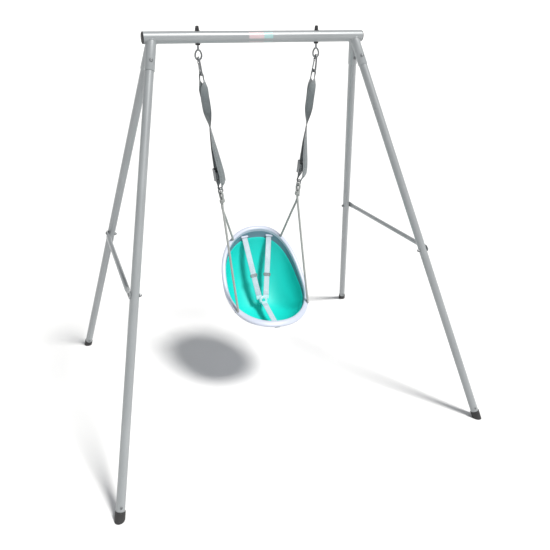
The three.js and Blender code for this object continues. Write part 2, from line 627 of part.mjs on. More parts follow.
// A strap from its buckle lug through the wall, with its end folded into a stop outside.
function strapSolid(run, matrix) {
  const { width, thickness, stop, stopThickness } = harnessStrap;
  const stopFrom = run.wall + 2;
  return placed(join(strapBlock(width, 0, stopFrom + 1, thickness),
    strapBlock(width, stopFrom, stopFrom + stop, stopThickness)), matrix);
}

const strapSlot = (run, sign) =>
  placed(strapBlock(harnessStrap.slotWidth, run.wall - 40, run.wall + 40, harnessStrap.slotHeight),
    strapMatrix(run, sign));

function buildHarnessBuckle(seat, strapMatrices) {
  const { radius, thickness, edge, slope, lug, lugThickness } = harnessBuckle;
  const half = thickness / 2;
  const profile = [[0, -half], [radius - edge, -half], [radius, edge - half], [radius, half - edge],
    [radius - edge, half], [0, half]];
  const puck = new THREE.LatheGeometry(profile.map(([x, y]) => new THREE.Vector2(x, y)), 20);
  puck.rotateX(Math.PI / 2 + degrees(slope));
  puck.translate(harnessCentre.x, harnessCentre.y, harnessCentre.z);
  const face = at(0, -Math.sin(degrees(slope)), Math.cos(degrees(slope)));
  const above = (distance) => harnessCentre.clone().addScaledVector(face, half + distance);
  const lugs = strapMatrices.map((matrix) =>
    placed(strapBlock(harnessStrap.width + 2, -lug, -gap, lugThickness), matrix));
  const well = drillRod(above(-button.depth), above(10), button.radius + gap, 16);
  add('harness_buckle', cut(join(solid(puck), ...lugs), well), greyPlastic, seat);
  const buttonLow = above(button.travel + 0.6 - button.depth);
  add('harness_button', rod(buttonLow, above(button.proud), button.radius, 16), tealPlastic, seat);
}

function buildHarness(seat) {
  const shoulders = sides.map(([, sign]) => strapMatrix(shoulder, sign, harnessDrift));
  const middle = strapMatrix(crotch, 1);
  buildHarnessBuckle(seat, [...shoulders, middle]);
  sides.forEach(([side], k) => {
    add(`shoulder_strap_${side}`, strapSolid(shoulder, shoulders[k]), paleStrap, seat);
    const [low, high] = [adjuster.at, adjuster.at + adjuster.length];
    const body = strapBlock(adjuster.width, low, high, adjuster.thickness);
    const window = strapBlock(harnessStrap.width + 1.6, low - 1, high + 1, harnessStrap.thickness + 1.6);
    add(`strap_adjuster_${side}`, placed(cut(body, window), shoulders[k]), greyPlastic, seat);
  });
  add('crotch_strap', strapSolid(crotch, middle), paleStrap, seat);
}

function buildSeat() {
  const seat = new THREE.Group();
  seat.applyMatrix4(seatMatrix);
  object.add(seat);
  const holes = [];
  for (const [, sign] of sides) {
    for (const { angle, inset } of Object.values(ropeHoles)) {
      const [low, high] = [-14, 14].map((raise) => lipPoint(sign * angle, inset, raise));
      holes.push(drillRod(low, high, ropeRadius + 1.2));
    }
  }
  const slots = [strapSlot(shoulder, -1), strapSlot(shoulder, 1), strapSlot(crotch, 1)];
  add('seat_shell', cut(buildShell(), ...holes, ...slots), shellWhite, seat);
  add('seat_liner', cut(buildLiner(), ...slots), tealPlastic, seat);
  buildHarness(seat);
}

// ---- assembly ----
buildFrame();
for (const [side, sign] of sides) {
  buildEyeBolt(side, sign);
  const hanger = new THREE.Group();
  hanger.position.set(sign * eyeX, 0, eyeBottom);
  hanger.rotation.y = sign * lean;
  object.add(hanger);
  buildHook(side, hanger);
  buildStrap(side, hanger);
  buildBuckle(side, hanger);
  buildRing(side, hanger);
  buildRope(side, sign);
}
buildSeat();

export default object;
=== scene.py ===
import bmesh
import bpy
import json
import math
from mathutils import Matrix, Vector, noise


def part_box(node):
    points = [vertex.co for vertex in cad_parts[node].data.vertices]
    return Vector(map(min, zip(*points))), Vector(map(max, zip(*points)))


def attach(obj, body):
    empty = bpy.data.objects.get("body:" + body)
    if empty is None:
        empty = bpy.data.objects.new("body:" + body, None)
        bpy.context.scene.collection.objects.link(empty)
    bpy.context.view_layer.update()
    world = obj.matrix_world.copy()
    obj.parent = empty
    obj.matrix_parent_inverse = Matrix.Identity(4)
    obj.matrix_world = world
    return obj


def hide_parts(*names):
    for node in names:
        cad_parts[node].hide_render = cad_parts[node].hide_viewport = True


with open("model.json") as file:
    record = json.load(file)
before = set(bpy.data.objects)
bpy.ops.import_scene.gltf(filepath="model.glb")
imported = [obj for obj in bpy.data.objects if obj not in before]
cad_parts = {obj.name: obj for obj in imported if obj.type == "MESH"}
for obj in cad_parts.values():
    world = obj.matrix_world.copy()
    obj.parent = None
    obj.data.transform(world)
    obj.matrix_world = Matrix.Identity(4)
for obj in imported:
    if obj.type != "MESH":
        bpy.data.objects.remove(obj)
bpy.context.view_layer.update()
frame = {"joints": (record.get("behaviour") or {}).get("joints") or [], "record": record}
record = frame["record"]
joints = {joint["name"]: joint for joint in frame["joints"]}
bodyOf = {node: body for body, nodes in record["behaviour"]["bodies"].items() for node in nodes}
print("frame loaded")

millimetre = 0.001
sides = (("left", -1), ("right", 1))
ends = (("front", -1), ("rear", 1))


def addObject(name, data):
    made = bpy.data.objects.new(name, data)
    bpy.context.scene.collection.objects.link(made)
    return made


# camera

cameraSetup = {
    "place": (-0.93375, -2.5601, 1.8616),
    "turn": 21.53,  # degrees from straight back towards +X
    "tilt": 24.14,  # degrees below the horizon
    "lens": 37.03,
}


def makeCamera():
    camera = addObject("camera", bpy.data.cameras.new("camera"))
    camera.data.lens = cameraSetup["lens"]
    camera.data.sensor_width = 36
    camera.location = cameraSetup["place"]
    tilt = math.radians(90 - cameraSetup["tilt"])
    camera.rotation_euler = (tilt, 0, -math.radians(cameraSetup["turn"]))
    bpy.context.scene.camera = camera


# shader maths

class Signal:  # a socket that can be used in sums
    def __init__(self, tree, socket=None):
        self.tree = tree
        self.socket = socket

    def node(self, kind, settings=None, inputs=None, output=0):
        made = self.tree.nodes.new(kind)
        for key, value in (settings or {}).items():
            setattr(made, key, value)
        for key, value in (inputs or {}).items():
            if isinstance(value, Signal):
                self.tree.links.new(value.socket, made.inputs[key])
            else:
                made.inputs[key].default_value = value
        return Signal(self.tree, made.outputs[output] if made.outputs else None)

    def maths(self, operation, *values):
        return self.node("ShaderNodeMath", {"operation": operation}, dict(enumerate(values)))

    def __add__(self, other):
        return self.maths("ADD", self, other)

    def __sub__(self, other):
        return self.maths("SUBTRACT", self, other)

    def __rsub__(self, other):
        return self.maths("SUBTRACT", other, self)

    def __mul__(self, other):
        return self.maths("MULTIPLY", self, other)

    def __truediv__(self, other):
        return self.maths("DIVIDE", self, other)

    __radd__ = __add__
    __rmul__ = __mul__

    def wave(self, period):  # 0 to 1 and back once in each period
        return self.maths("ABSOLUTE", self.maths("SINE", self * (math.pi / period)))

    def between(self, low, high):  # 0 below low, 1 above high
        return self.node("ShaderNodeMapRange", {"clamp": True}, {"Value": self, 1: low, 2: high})

    def mix(self, first, second):  # this signal chooses between two colours
        return self.node("ShaderNodeMix", {"data_type": "RGBA"}, {0: self, 6: first, 7: second}, 2)

    def noise(self, scale, detail=3.0, rough=0.55):
        return self.node("ShaderNodeTexNoise", None,
                         {"Vector": self, "Scale": scale, "Detail": detail, "Roughness": rough})

    def stretched(self, scale, turn=(0, 0, 0)):
        return self.node("ShaderNodeMapping", None, {"Vector": self, "Scale": scale, "Rotation": turn})

    def axis(self, name):
        return self.node("ShaderNodeSeparateXYZ", None, {0: self}, "XYZ".index(name))


def rgb(red, green, blue):
    return (red, green, blue, 1)


def startMaterial(name):
    material = bpy.data.materials.new(name)
    material.use_nodes = True
    material.node_tree.nodes.clear()
    start = Signal(material.node_tree)
    place = start.node("ShaderNodeTexCoord", output="Object")
    flat = start.node("ShaderNodeTexCoord", output="UV")
    return material, place, flat


def endMaterial(material, colour, rough, metallic=0.0, height=None, depth=0.0002, strength=0.5, **fixed):
    start = Signal(material.node_tree)
    inputs = {"Base Color": colour, "Roughness": rough, "Metallic": metallic}
    if height:
        inputs["Normal"] = start.node("ShaderNodeBump", None,
                                      {"Strength": strength, "Distance": depth, "Height": height})
    named = {"coat": "Coat Weight", "coatRough": "Coat Roughness", "sheen": "Sheen Weight",
             "sheenRough": "Sheen Roughness", "specular": "Specular IOR Level"}
    inputs.update({named[key]: value for key, value in fixed.items()})
    shader = start.node("ShaderNodeBsdfPrincipled", None, inputs)
    start.node("ShaderNodeOutputMaterial", None, {"Surface": shader})
    return material


# finishes

silverPaintLook = {"light": rgb(0.36, 0.38, 0.39), "dark": rgb(0.25, 0.265, 0.275), "metal": 0.2,
                   "rough": 0.34}


def makeSilverPaint():
    material, place, _ = startMaterial("silverPaint")
    look = silverPaintLook
    cloud = place.noise(5, 4)
    speckle = place.noise(900, 2, 0.7)
    scratch = place.stretched((60, 60, 4)).noise(9, 6, 0.75)
    scuffs = scratch.between(0.66, 0.72) * place.noise(12, 2).between(0.5, 0.62)
    colour = (cloud * 0.7 + speckle * 0.3).mix(look["dark"], look["light"])
    worn = (scuffs * 0.35).mix(colour, rgb(0.30, 0.31, 0.32))
    rough = look["rough"] + cloud * 0.14 + scuffs * 0.2
    height = place.noise(240, 2) * 0.6 + speckle * 0.25 - scuffs * 0.5
    return endMaterial(material, worn, rough, look["metal"], height, 0.0003, 0.25, coat=0.3, coatRough=0.2)


steelLook = {"light": rgb(0.27, 0.28, 0.29), "dark": rgb(0.13, 0.135, 0.14), "rough": 0.34}


def makeSteel():
    material, place, _ = startMaterial("zincSteel")
    grain = place.node("ShaderNodeTexVoronoi", None, {"Vector": place, "Scale": 420})
    cloud = place.noise(45, 5, 0.65)
    tarnish = cloud.between(0.5, 0.75)
    colour = (grain * 0.25 + tarnish * 0.75).mix(steelLook["light"], steelLook["dark"])
    rough = steelLook["rough"] + tarnish * 0.25 + grain * 0.1
    height = cloud * 0.5 + place.noise(1500, 2) * 0.3
    return endMaterial(material, colour, rough, 1.0, height, 0.0002, 0.3)


def makePlastic(name, look):
    material, place, _ = startMaterial(name)
    cloud = place.noise(9, 4)
    grain = place.noise(1400, 3, 0.7)
    scuff = place.stretched((3, 30, 30), (0.3, 0.2, 0.7)).noise(14, 8, 0.8).between(0.62, 0.72)
    dust = cloud.between(0.35, 0.75)
    colour = (dust * look["variation"]).mix(look["colour"], look["dusty"])
    worn = (scuff * look["wear"]).mix(colour, look["worn"])
    rough = look["rough"] + grain * 0.08 + scuff * 0.12 + dust * 0.08
    height = grain * 0.6 + cloud * 0.4 - scuff * 0.3
    return endMaterial(material, worn, rough, 0.0, height, 0.00015, look["bump"],
                       coat=look["coat"], coatRough=0.3)


plasticLooks = {
    "black": {"colour": rgb(0.018, 0.018, 0.02), "dusty": rgb(0.05, 0.048, 0.045), "worn": rgb(0.12, 0.12,
                                                                                               0.12),
              "variation": 0.6, "wear": 0.5, "rough": 0.5, "bump": 0.5, "coat": 0.0},
    "white": {"colour": rgb(0.50, 0.54, 0.64), "dusty": rgb(0.43, 0.47, 0.56), "worn": rgb(0.86, 0.89, 0.93),
              "variation": 0.5, "wear": 0.4, "rough": 0.36, "bump": 0.35, "coat": 0.2},
    "teal": {"colour": rgb(0.0, 0.60, 0.53), "dusty": rgb(0.0, 0.54, 0.48), "worn": rgb(0.04, 0.66, 0.59),
             "variation": 0.5, "wear": 0.3, "rough": 0.5, "bump": 0.35, "coat": 0.0},
    "grey": {"colour": rgb(0.17, 0.19, 0.20), "dusty": rgb(0.24, 0.26, 0.27), "worn": rgb(0.36, 0.38, 0.39),
             "variation": 0.6, "wear": 0.4, "rough": 0.42, "bump": 0.4, "coat": 0.0},
    # band: painted shade, the pale shell's inner wall above the liner coloured as it looks in shade
    "band": {"colour": rgb(0.13, 0.22, 0.29), "dusty": rgb(0.17, 0.26, 0.33), "worn": rgb(0.28, 0.38, 0.44),
             "variation": 0.5, "wear": 0.3, "rough": 0.42, "bump": 0.35, "coat": 0.1},
    "buckle": {"colour": rgb(0.42, 0.62, 0.66), "dusty": rgb(0.50, 0.66, 0.70), "worn": rgb(0.66, 0.76, 0.78),
               "variation": 0.5, "wear": 0.3, "rough": 0.32, "bump": 0.3, "coat": 0.3},
}


def makeWebbing(name, look):
    material, place, flat = startMaterial(name)
    across, along = flat.axis("X"), flat.axis("Y")
    column = across.maths("FLOOR", across / look["rib"])
    shifted = along + column * (look["pick"] / 2)
    rib = across.wave(look["rib"])
    pick = shifted.wave(look["pick"])
    yarn = rib * 0.6 + rib * pick * 0.7
    edge = across.maths("ABSOLUTE", across).between(look["width"] / 2 - 2.6, look["width"] / 2 - 1.6)
    stain = place.noise(16, 4).between(0.35, 0.75)
    fleck = place.noise(900, 2, 0.7)
    # painted shade: the weave is darker in its hollows, mixing a shaded and a lit tone of the webbing
    paintedShade = (yarn * 0.7 + fleck * 0.35).mix(look["dark"], look["light"])
    faded = (stain * look["fade"]).mix(paintedShade, look["faded"])
    colour = (edge * 0.35).mix(faded, look["dark"])
    height = yarn * 0.8 + fleck * 0.3
    return endMaterial(material, colour, 0.8 - yarn * 0.12, 0.0, height, 0.0008, 0.7,
                       sheen=0.35, sheenRough=0.5)


# dark and light are tones of the webbing in shade and in light, mixed by the weave's relief as painted shade
# in its hollows
webbingLooks = {
    "grey": {"width": 38, "rib": 1.9, "pick": 2.4, "dark": rgb(0.035, 0.048, 0.055), "light": rgb(0.18, 0.21,
                                                                                                  0.22),
             "faded": rgb(0.26, 0.28, 0.285), "fade": 0.3},
    "pale": {"width": 30, "rib": 1.6, "pick": 2.1, "dark": rgb(0.28, 0.37, 0.44), "light": rgb(0.56, 0.66,
                                                                                               0.73),
             "faded": rgb(0.74, 0.80, 0.84), "fade": 0.4},
}

# the rope's own pale grey, lowered overall as painted shade for the rear ropes in shade; dark and light are
# mixed by the braid as painted shade in its gaps
ropeLook = {"strands": 8, "lay": 15.0, "dark": rgb(0.09, 0.10, 0.10), "light": rgb(0.42, 0.44, 0.43)}


def makeRopeFinish():
    material, place, flat = startMaterial("braidedRope")
    around = flat.axis("X") * (ropeLook["strands"] / 2)  # the flat X goes round the rope once in 0 to 1
    along = flat.axis("Y") / ropeLook["lay"] * 2
    over = (around + along).wave(1)
    under = (around - along).wave(1)
    braid = over.maths("MAXIMUM", over, under)
    fibre = place.noise(1600, 2, 0.7)
    dirt = place.noise(30, 4).between(0.4, 0.75)
    # painted shade: darker in the gaps between the braid's strands
    paintedShade = (braid * 0.75 + fibre * 0.25).between(0.35, 0.95).mix(ropeLook["dark"], ropeLook["light"])
    colour = (dirt * 0.4).mix(paintedShade, rgb(0.20, 0.21, 0.20))
    height = braid * 0.9 + fibre * 0.2
    return endMaterial(material, colour, 0.82 - braid * 0.1, 0.0, height, 0.0012, 0.8, sheen=0.3,
                       sheenRough=0.5)


labelLook = {"pale": rgb(0.56, 0.43, 0.45), "teal": rgb(0.27, 0.48, 0.48), "split": 0.016, "edge": 0.0015}


def makeLabelFilm():
    material, place, _ = startMaterial("labelFilm")
    along = place.axis("X")
    side = along.between(labelLook["split"] - labelLook["edge"], labelLook["split"] + labelLook["edge"])
    fade = place.noise(60, 4).between(0.35, 0.7)
    printed = side.mix(labelLook["pale"], labelLook["teal"])
    colour = (fade * 0.3).mix(printed, rgb(0.55, 0.53, 0.54))
    return endMaterial(material, colour, 0.3 + fade * 0.15, 0.0, place.noise(300, 2), 0.0001, 0.2,
                       coat=0.4, coatRough=0.15)


finishes = {
    "silver": makeSilverPaint(),
    "steel": makeSteel(),
    "rope": makeRopeFinish(),
    "label": makeLabelFilm(),
}
for lookName, plasticLook in plasticLooks.items():
    finishes[lookName] = makePlastic(lookName + "Plastic", plasticLook)
for lookName, webbingLook in webbingLooks.items():
    finishes[lookName + "Webbing"] = makeWebbing(lookName + "Webbing", webbingLook)
print("finishes made")


# shaping tools, all in the units of whoever calls them

def makePiece(name, shape, finish, *nodes, place=None, sharp=35, adds=False):
    if place:
        bmesh.ops.transform(shape, matrix=place, verts=shape.verts)
    mesh = bpy.data.meshes.new(name)
    shape.to_mesh(mesh)
    shape.free()
    mesh.shade_smooth()
    mesh.set_sharp_from_angle(angle=math.radians(sharp))
    mesh.materials.append(finishes[finish])
    piece = addObject(name, mesh)
    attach(piece, bodyOf[nodes[0]])
    if not adds:
        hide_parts(*nodes)
    return piece


def gather(*shapes):
    whole = bmesh.new()
    for shape in shapes:
        carrier = bpy.data.meshes.new("carrier")
        shape.to_mesh(carrier)
        whole.from_mesh(carrier)
        shape.free()
        bpy.data.meshes.remove(carrier)
    return whole


def moved(shape, matrix):
    bmesh.ops.transform(shape, matrix=matrix, verts=shape.verts)
    return shape


def slid(shape, x=0, y=0, z=0):
    return moved(shape, Matrix.Translation((x, y, z)))


def turned(degrees, axis):
    return Matrix.Rotation(math.radians(degrees), 4, axis)


def aim(point, direction):  # +Z turned onto a direction
    return Matrix.Translation(point) @ Vector(direction).to_track_quat("Z", "Y").to_matrix().to_4x4()


def lathe(profile, segments=48, closed=False):  # (radius, height) pairs turned about Z
    shape = bmesh.new()
    verts = [shape.verts.new((radius, 0, height)) for radius, height in profile]
    pairs = list(zip(verts, verts[1:])) + ([(verts[-1], verts[0])] if closed else [])
    edges = [shape.edges.new(pair) for pair in pairs]
    bmesh.ops.spin(shape, geom=verts + edges, axis=(0, 0, 1), angle=2 * math.pi, steps=segments,
                   use_merge=True)
    bmesh.ops.remove_doubles(shape, verts=shape.verts, dist=1e-5)
    bmesh.ops.recalc_face_normals(shape, faces=shape.faces)
    return shape


def rod(start, end, radius, chamfer=0.4, segments=32):
    start, end = Vector(start), Vector(end)
    length = (end - start).length
    profile = [(0, 0), (radius - chamfer, 0), (radius, chamfer), (radius, length - chamfer),
               (radius - chamfer, length), (0, length)]
    return moved(lathe(profile, segments), aim(start, end - start))


def roundEdges(shape, size, steps):
    bmesh.ops.bevel(shape, geom=shape.edges[:], offset=size, segments=steps, profile=0.5, material=-1,
                    affect="EDGES")


def block(low, high, soften=0.6, steps=3):
    shape = bmesh.new()
    low, high = Vector(low), Vector(high)
    bmesh.ops.create_cube(shape, size=1)
    bmesh.ops.scale(shape, vec=high - low, verts=shape.verts)
    bmesh.ops.translate(shape, vec=(low + high) / 2, verts=shape.verts)
    roundEdges(shape, soften, steps)
    return shape


def prism(outline, low, high, soften=0.5):  # an outline in Y and Z, as thick as low to high in X
    shape = bmesh.new()
    face = shape.faces.new([shape.verts.new((low, y, z)) for y, z in outline])
    grown = bmesh.ops.extrude_face_region(shape, geom=[face])["geom"]
    bmesh.ops.translate(shape, vec=(high - low, 0, 0),
                        verts=[v for v in grown if isinstance(v, bmesh.types.BMVert)])
    bmesh.ops.recalc_face_normals(shape, faces=shape.faces)
    if soften:
        roundEdges(shape, soften, 2)
    return shape


def smoothPath(points, steps, cyclic=False):  # evenly spaced points on a curve through the given ones
    points = [Vector(point) for point in points]
    count = len(points)
    dense = []
    pieces = count if cyclic else count - 1
    for k in range(pieces):
        if cyclic:
            four = [points[(k + shift) % count] for shift in (-1, 0, 1, 2)]
        else:
            four = [points[max(0, min(count - 1, k + shift))] for shift in (-1, 0, 1, 2)]
        before, start, end, after = four
        for step in range(24):
            t = step / 24
            dense.append(0.5 * (2 * start + (end - before) * t
                                + (2 * before - 5 * start + 4 * end - after) * t ** 2
                                + (3 * start - before - 3 * end + after) * t ** 3))
    dense.append(points[0].copy() if cyclic else points[-1].copy())
    travelled = [0.0]
    for first, second in zip(dense, dense[1:]):
        travelled.append(travelled[-1] + (second - first).length)
    path, k = [], 0
    for step in range(steps + 1):
        target = travelled[-1] * step / steps
        while k < len(dense) - 2 and travelled[k + 1] < target:
            k += 1
        span = max(travelled[k + 1] - travelled[k], 1e-9)
        path.append(dense[k].lerp(dense[k + 1], min(1, (target - travelled[k]) / span)))
    return path, travelled[-1]


def tangents(path, cyclic=False):
    last = len(path) - 1
    found = []
    for k in range(last + 1):
        before = path[k - 1] if k else (path[last - 1] if cyclic else path[0])
        after = path[k + 1] if k < last else (path[1] if cyclic else path[last])
        found.append((after - before).normalized())
    return found


def pick(items, share):  # the item that far along a list
    return items[round(share * (len(items) - 1))]


# a grid wrapped onto a shape, its seam and poles merged and its ends filled
def wrappedGrid(around, along, place, flat=lambda u, v: (u, v)):
    shape = bmesh.new()
    layer = shape.loops.layers.uv.new("UVMap")
    bmesh.ops.create_grid(shape, x_segments=around, y_segments=along, size=0.5)
    for face in shape.faces:
        for loop in face.loops:
            spot = loop.vert.co
            loop[layer].uv = flat(spot.x + 0.5, spot.y + 0.5)
    for vert in shape.verts:
        vert.co = place(vert.co.x + 0.5, vert.co.y + 0.5)
    bmesh.ops.remove_doubles(shape, verts=shape.verts, dist=1e-4)
    bmesh.ops.holes_fill(shape, edges=[edge for edge in shape.edges if edge.is_boundary], sides=0)
    bmesh.ops.recalc_face_normals(shape, faces=shape.faces)
    return shape


def sweep(points, radius, steps, around=16, cyclic=False, roundEnds=False):
    path, length = smoothPath(points, steps, cyclic)
    along = tangents(path, cyclic)
    side = along[0].orthogonal().normalized()
    across = []
    for direction in along:
        side = (side - direction * side.dot(direction)).normalized()
        across.append(side.copy())

    def place(u, v):
        k = round(v * steps)
        angle = 2 * math.pi * u
        size = radius
        if roundEnds and k in (0, 1, steps - 1, steps):
            size = radius * (0.45 if k in (0, steps) else 0.92)
        out = across[k] * math.cos(angle) + along[k].cross(across[k]) * math.sin(angle)
        return path[k] + out * size

    return wrappedGrid(around, steps, place, lambda u, v: (u, v * length))


def bandSection(width, thickness, cells=10):  # points round a flat band, and how far across each one is
    half, edge = width / 2, thickness * 0.3
    top = [(-half + edge + (width - 2 * edge) * k / cells, thickness / 2) for k in range(cells + 1)]
    bottom = [(x, -thickness / 2) for x, _ in reversed(top)]
    return [*top, (half, 0), *bottom, (-half, 0), top[0]]


print("tools ready")


# A-frame

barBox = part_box("crossbar")
bar = {
    "height": (barBox[0].z + barBox[1].z) / 2 / millimetre,
    "half": barBox[1].x / millimetre,
    "radius": 25,
    "wall": 2,
    "legTopX": 475,
}
feet = {mount["name"].removeprefix("foot_"): Vector(mount["pos_m"]) / millimetre
        for mount in record["mounts"]}
leg = {"radius": 19, "wall": 1.6, "socketRadius": 21.4, "socketReach": 140, "socketBoltAt": 101, "start": 64,
       "endAbove": 12, "footBoltAbove": 50, "braceHeight": 832}
footCap = {"radius": 21.8, "height": 38, "ribs": 3, "pitch": 6}
bolt = {"shank": 3.9, "head": 7.6, "headHeight": 4.4, "hex": 2.6, "nut": 7.4, "nutHeight": 6.4, "tail": 3.5}
smallBolt = {"shank": 2.9, "head": 5.6, "headHeight": 3.4, "hex": 2.0, "nut": 5.8, "nutHeight": 4.6,
             "tail": 2.5}
toMetres = Matrix.Scale(millimetre, 4)
toMillimetres = Matrix.Scale(1 / millimetre, 4)


class LegLine:  # one leg's axis, from the bar to the ground
    def __init__(self, corner):
        self.endSign = -1 if corner.startswith("front") else 1
        self.sideSign = -1 if corner.endswith("left") else 1
        self.top = Vector((self.sideSign * bar["legTopX"], 0, bar["height"]))
        self.length = (feet[corner] - self.top).length
        self.along = (feet[corner] - self.top).normalized()
        out = Vector((0, self.endSign, 0))
        self.across = (out - self.along * out.dot(self.along)).normalized()
        side = Vector((self.sideSign, 0, 0))
        side -= self.along * side.dot(self.along)
        side.y = 0
        self.sideways = side.normalized()

    def point(self, distance):
        return self.top + self.along * distance

    def drop(self, height):  # how far along the leg a height is
        return height / -self.along.z

    def place(self):
        return toMetres @ aim(self.top, self.along)


def makeCrossbar():
    half, radius, wall = bar["half"], bar["radius"], bar["wall"]
    profile = [(radius, -half + 0.5), (radius, half - 0.5), (radius - 0.5, half), (radius - wall, half),
               (radius - wall, -half), (radius - 0.5, -half)]
    place = toMetres @ Matrix.Translation((0, 0, bar["height"])) @ turned(90, "Y")
    makePiece("crossbar_tube", lathe(profile, 96, True), "silver", "crossbar", place=place)
    for side, sign in sides:
        inner = radius - wall - 0.3
        cap = [(0, 7), (8, 6.9), (15, 6.4), (20, 5.4), (23.4, 3.9), (24.7, 2.4), (25, 1.4), (25, 0.3),
               (inner, 0.3), (inner, -9), (inner - 0.8, -10), (inner - 0.8, -15), (inner - 2, -16), (0, -16)]
        place = toMetres @ Matrix.Translation((sign * half, 0, bar["height"])) @ turned(sign * 90, "Y")
        makePiece(f"bar_end_plug_{side}", lathe(cap, 64), "black", f"crossbar_cap_{side}", place=place)


label = {"radius": 25.2, "thick": 0.6, "from": -82, "to": 50, "corner": 5.0}


def makeLabel():
    low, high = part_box("crossbar_label")
    left, right = low.x / millimetre, high.x / millimetre
    arc = math.radians(label["to"] - label["from"]) * label["radius"]
    section = bandSection(1, 1, 24)

    def place(u, v):
        x, y = pick(section, u)
        nearEnd = min(v, 1 - v) * (right - left)  # rounded corners
        trim = 0.0
        if nearEnd < label["corner"]:
            trim = label["corner"] - math.sqrt(label["corner"] ** 2 - (label["corner"] - nearEnd) ** 2)
        angle = math.radians((label["from"] + label["to"]) / 2) + x * (arc - 2 * trim) / label["radius"]
        radius = label["radius"] + (y + 0.5) * label["thick"]
        return Vector((left + v * (right - left), -math.cos(angle) * radius,
                       bar["height"] - math.sin(angle) * radius))

    film = wrappedGrid(len(section) - 1, 48, place)
    makePiece("bar_label_film", film, "label", "crossbar_label", place=toMetres)


def copedDistance(line, start):  # how far down a line parallel to the leg the bar or the mitre lets it start
    radius = bar["radius"] + 0.3
    y, z = start.y, start.z - bar["height"]
    dy, dz = line.along.y, line.along.z
    a, b, c = dy * dy + dz * dz, 2 * (y * dy + z * dz), y * y + z * z - radius * radius
    root = b * b - 4 * a * c
    onBar = (-b + math.sqrt(root)) / (2 * a) if root > 0 else -1e9
    onMitre = (line.endSign * 0.3 - y) / dy
    return max(onBar, onMitre)


def makeSocket(corner, line):
    outer, inner, reach = leg["socketRadius"], leg["radius"] + 0.3, leg["socketReach"]
    profile = [(outer, 0), (outer, reach - 0.8), (outer - 0.25, reach - 0.25), (outer - 0.8, reach),
               (inner + 0.2, reach), (inner, reach - 0.3), (inner, 0)]
    sleeve = moved(lathe(profile, 96, True), aim(line.top, line.along))
    bead = []
    for vert in sleeve.verts:
        travelled = (vert.co - line.top).dot(line.along)
        if travelled < 1:
            vert.co += line.along * (copedDistance(line, vert.co))
            if (vert.co - line.top - line.along * (vert.co - line.top).dot(line.along)).length > outer - 0.1:
                bead.append(vert.co.copy())
    centre = line.top + line.along * 30
    axis = aim(line.top, line.along).inverted()
    bead.sort(key=lambda spot: math.atan2((axis @ spot).y, (axis @ spot).x))
    weld = sweep(bead, 2.1, 200, 10, cyclic=True)
    for vert in weld.verts:  # ripples of the weld
        vert.co += (vert.co - centre).normalized() * 0.5 * noise.noise(vert.co * 0.35)
    makePiece(f"socket_sleeve_{corner}", sleeve, "silver", f"leg_socket_{corner}", place=toMetres)
    makePiece(f"socket_weld_{corner}", weld, "silver", f"leg_socket_{corner}", place=toMetres, adds=True)


def makeLeg(corner, line):
    radius, wall = leg["radius"], leg["wall"]
    last = line.length - line.drop(leg["endAbove"])
    profile = [(radius, leg["start"]), (radius, last), (radius - wall, last), (radius - wall, leg["start"])]
    makePiece(f"leg_tube_{corner}", lathe(profile, 96, True), "silver", f"leg_{corner}", place=line.place())


def makeFootCap(corner, line):
    outer, inner, top = footCap["radius"], leg["radius"] + 0.3, line.length - footCap["height"]
    floor = line.length + 30
    profile = [(inner, top), (outer - 1.4, top), (outer - 0.5, top + 0.4), (outer, top + 1.5)]
    for rib in range(footCap["ribs"]):
        start = top + 7 + rib * footCap["pitch"]
        profile += [(outer, start), (outer - 0.7, start + 0.5), (outer - 0.7, start + 1.7),
                    (outer, start + 2.2)]
    profile += [(outer, floor), (0, floor), (0, line.length - 16), (inner, line.length - 16)]
    cap = moved(lathe(profile, 72), aim(line.top, line.along))
    cut = bmesh.ops.bisect_plane(cap, geom=cap.verts[:] + cap.edges[:] + cap.faces[:], plane_co=(0, 0, 0),
                                 plane_no=(0, 0, -1), clear_outer=True)
    ground = [edge for edge in cut["geom_cut"] if isinstance(edge, bmesh.types.BMEdge)]
    bmesh.ops.holes_fill(cap, edges=ground, sides=0)
    bmesh.ops.recalc_face_normals(cap, faces=cap.faces)
    makePiece(f"foot_plug_{corner}", cap, "black", f"foot_cap_{corner}", place=toMetres)


hexShare = {"recess": 0.87, "nut": 0.866}  # from the middle to a flat, as a share of the corner's radius


def hexReach(vert, flat):  # how far out a hexagon's side is in this direction
    return flat / math.cos(math.atan2(vert.co.y, vert.co.x) % (math.pi / 3) - math.pi / 6)


def hexRecess(shape, radius, low, high):  # presses a round recess into a hexagon
    for vert in shape.verts:
        if low < vert.co.z < high and 0.3 < vert.co.xy.length < radius * 1.02:
            vert.co.xy = vert.co.xy.normalized() * hexReach(vert, radius * hexShare["recess"])


def hexNut(profile, radius, bore):  # hexagonal flats, with the turned chamfer kept
    nut = lathe(profile, 48, True)
    for vert in nut.verts:
        if vert.co.xy.length > bore:
            reach = min(vert.co.xy.length, hexReach(vert, radius * hexShare["nut"]))
            vert.co.xy = vert.co.xy.normalized() * reach
    return nut


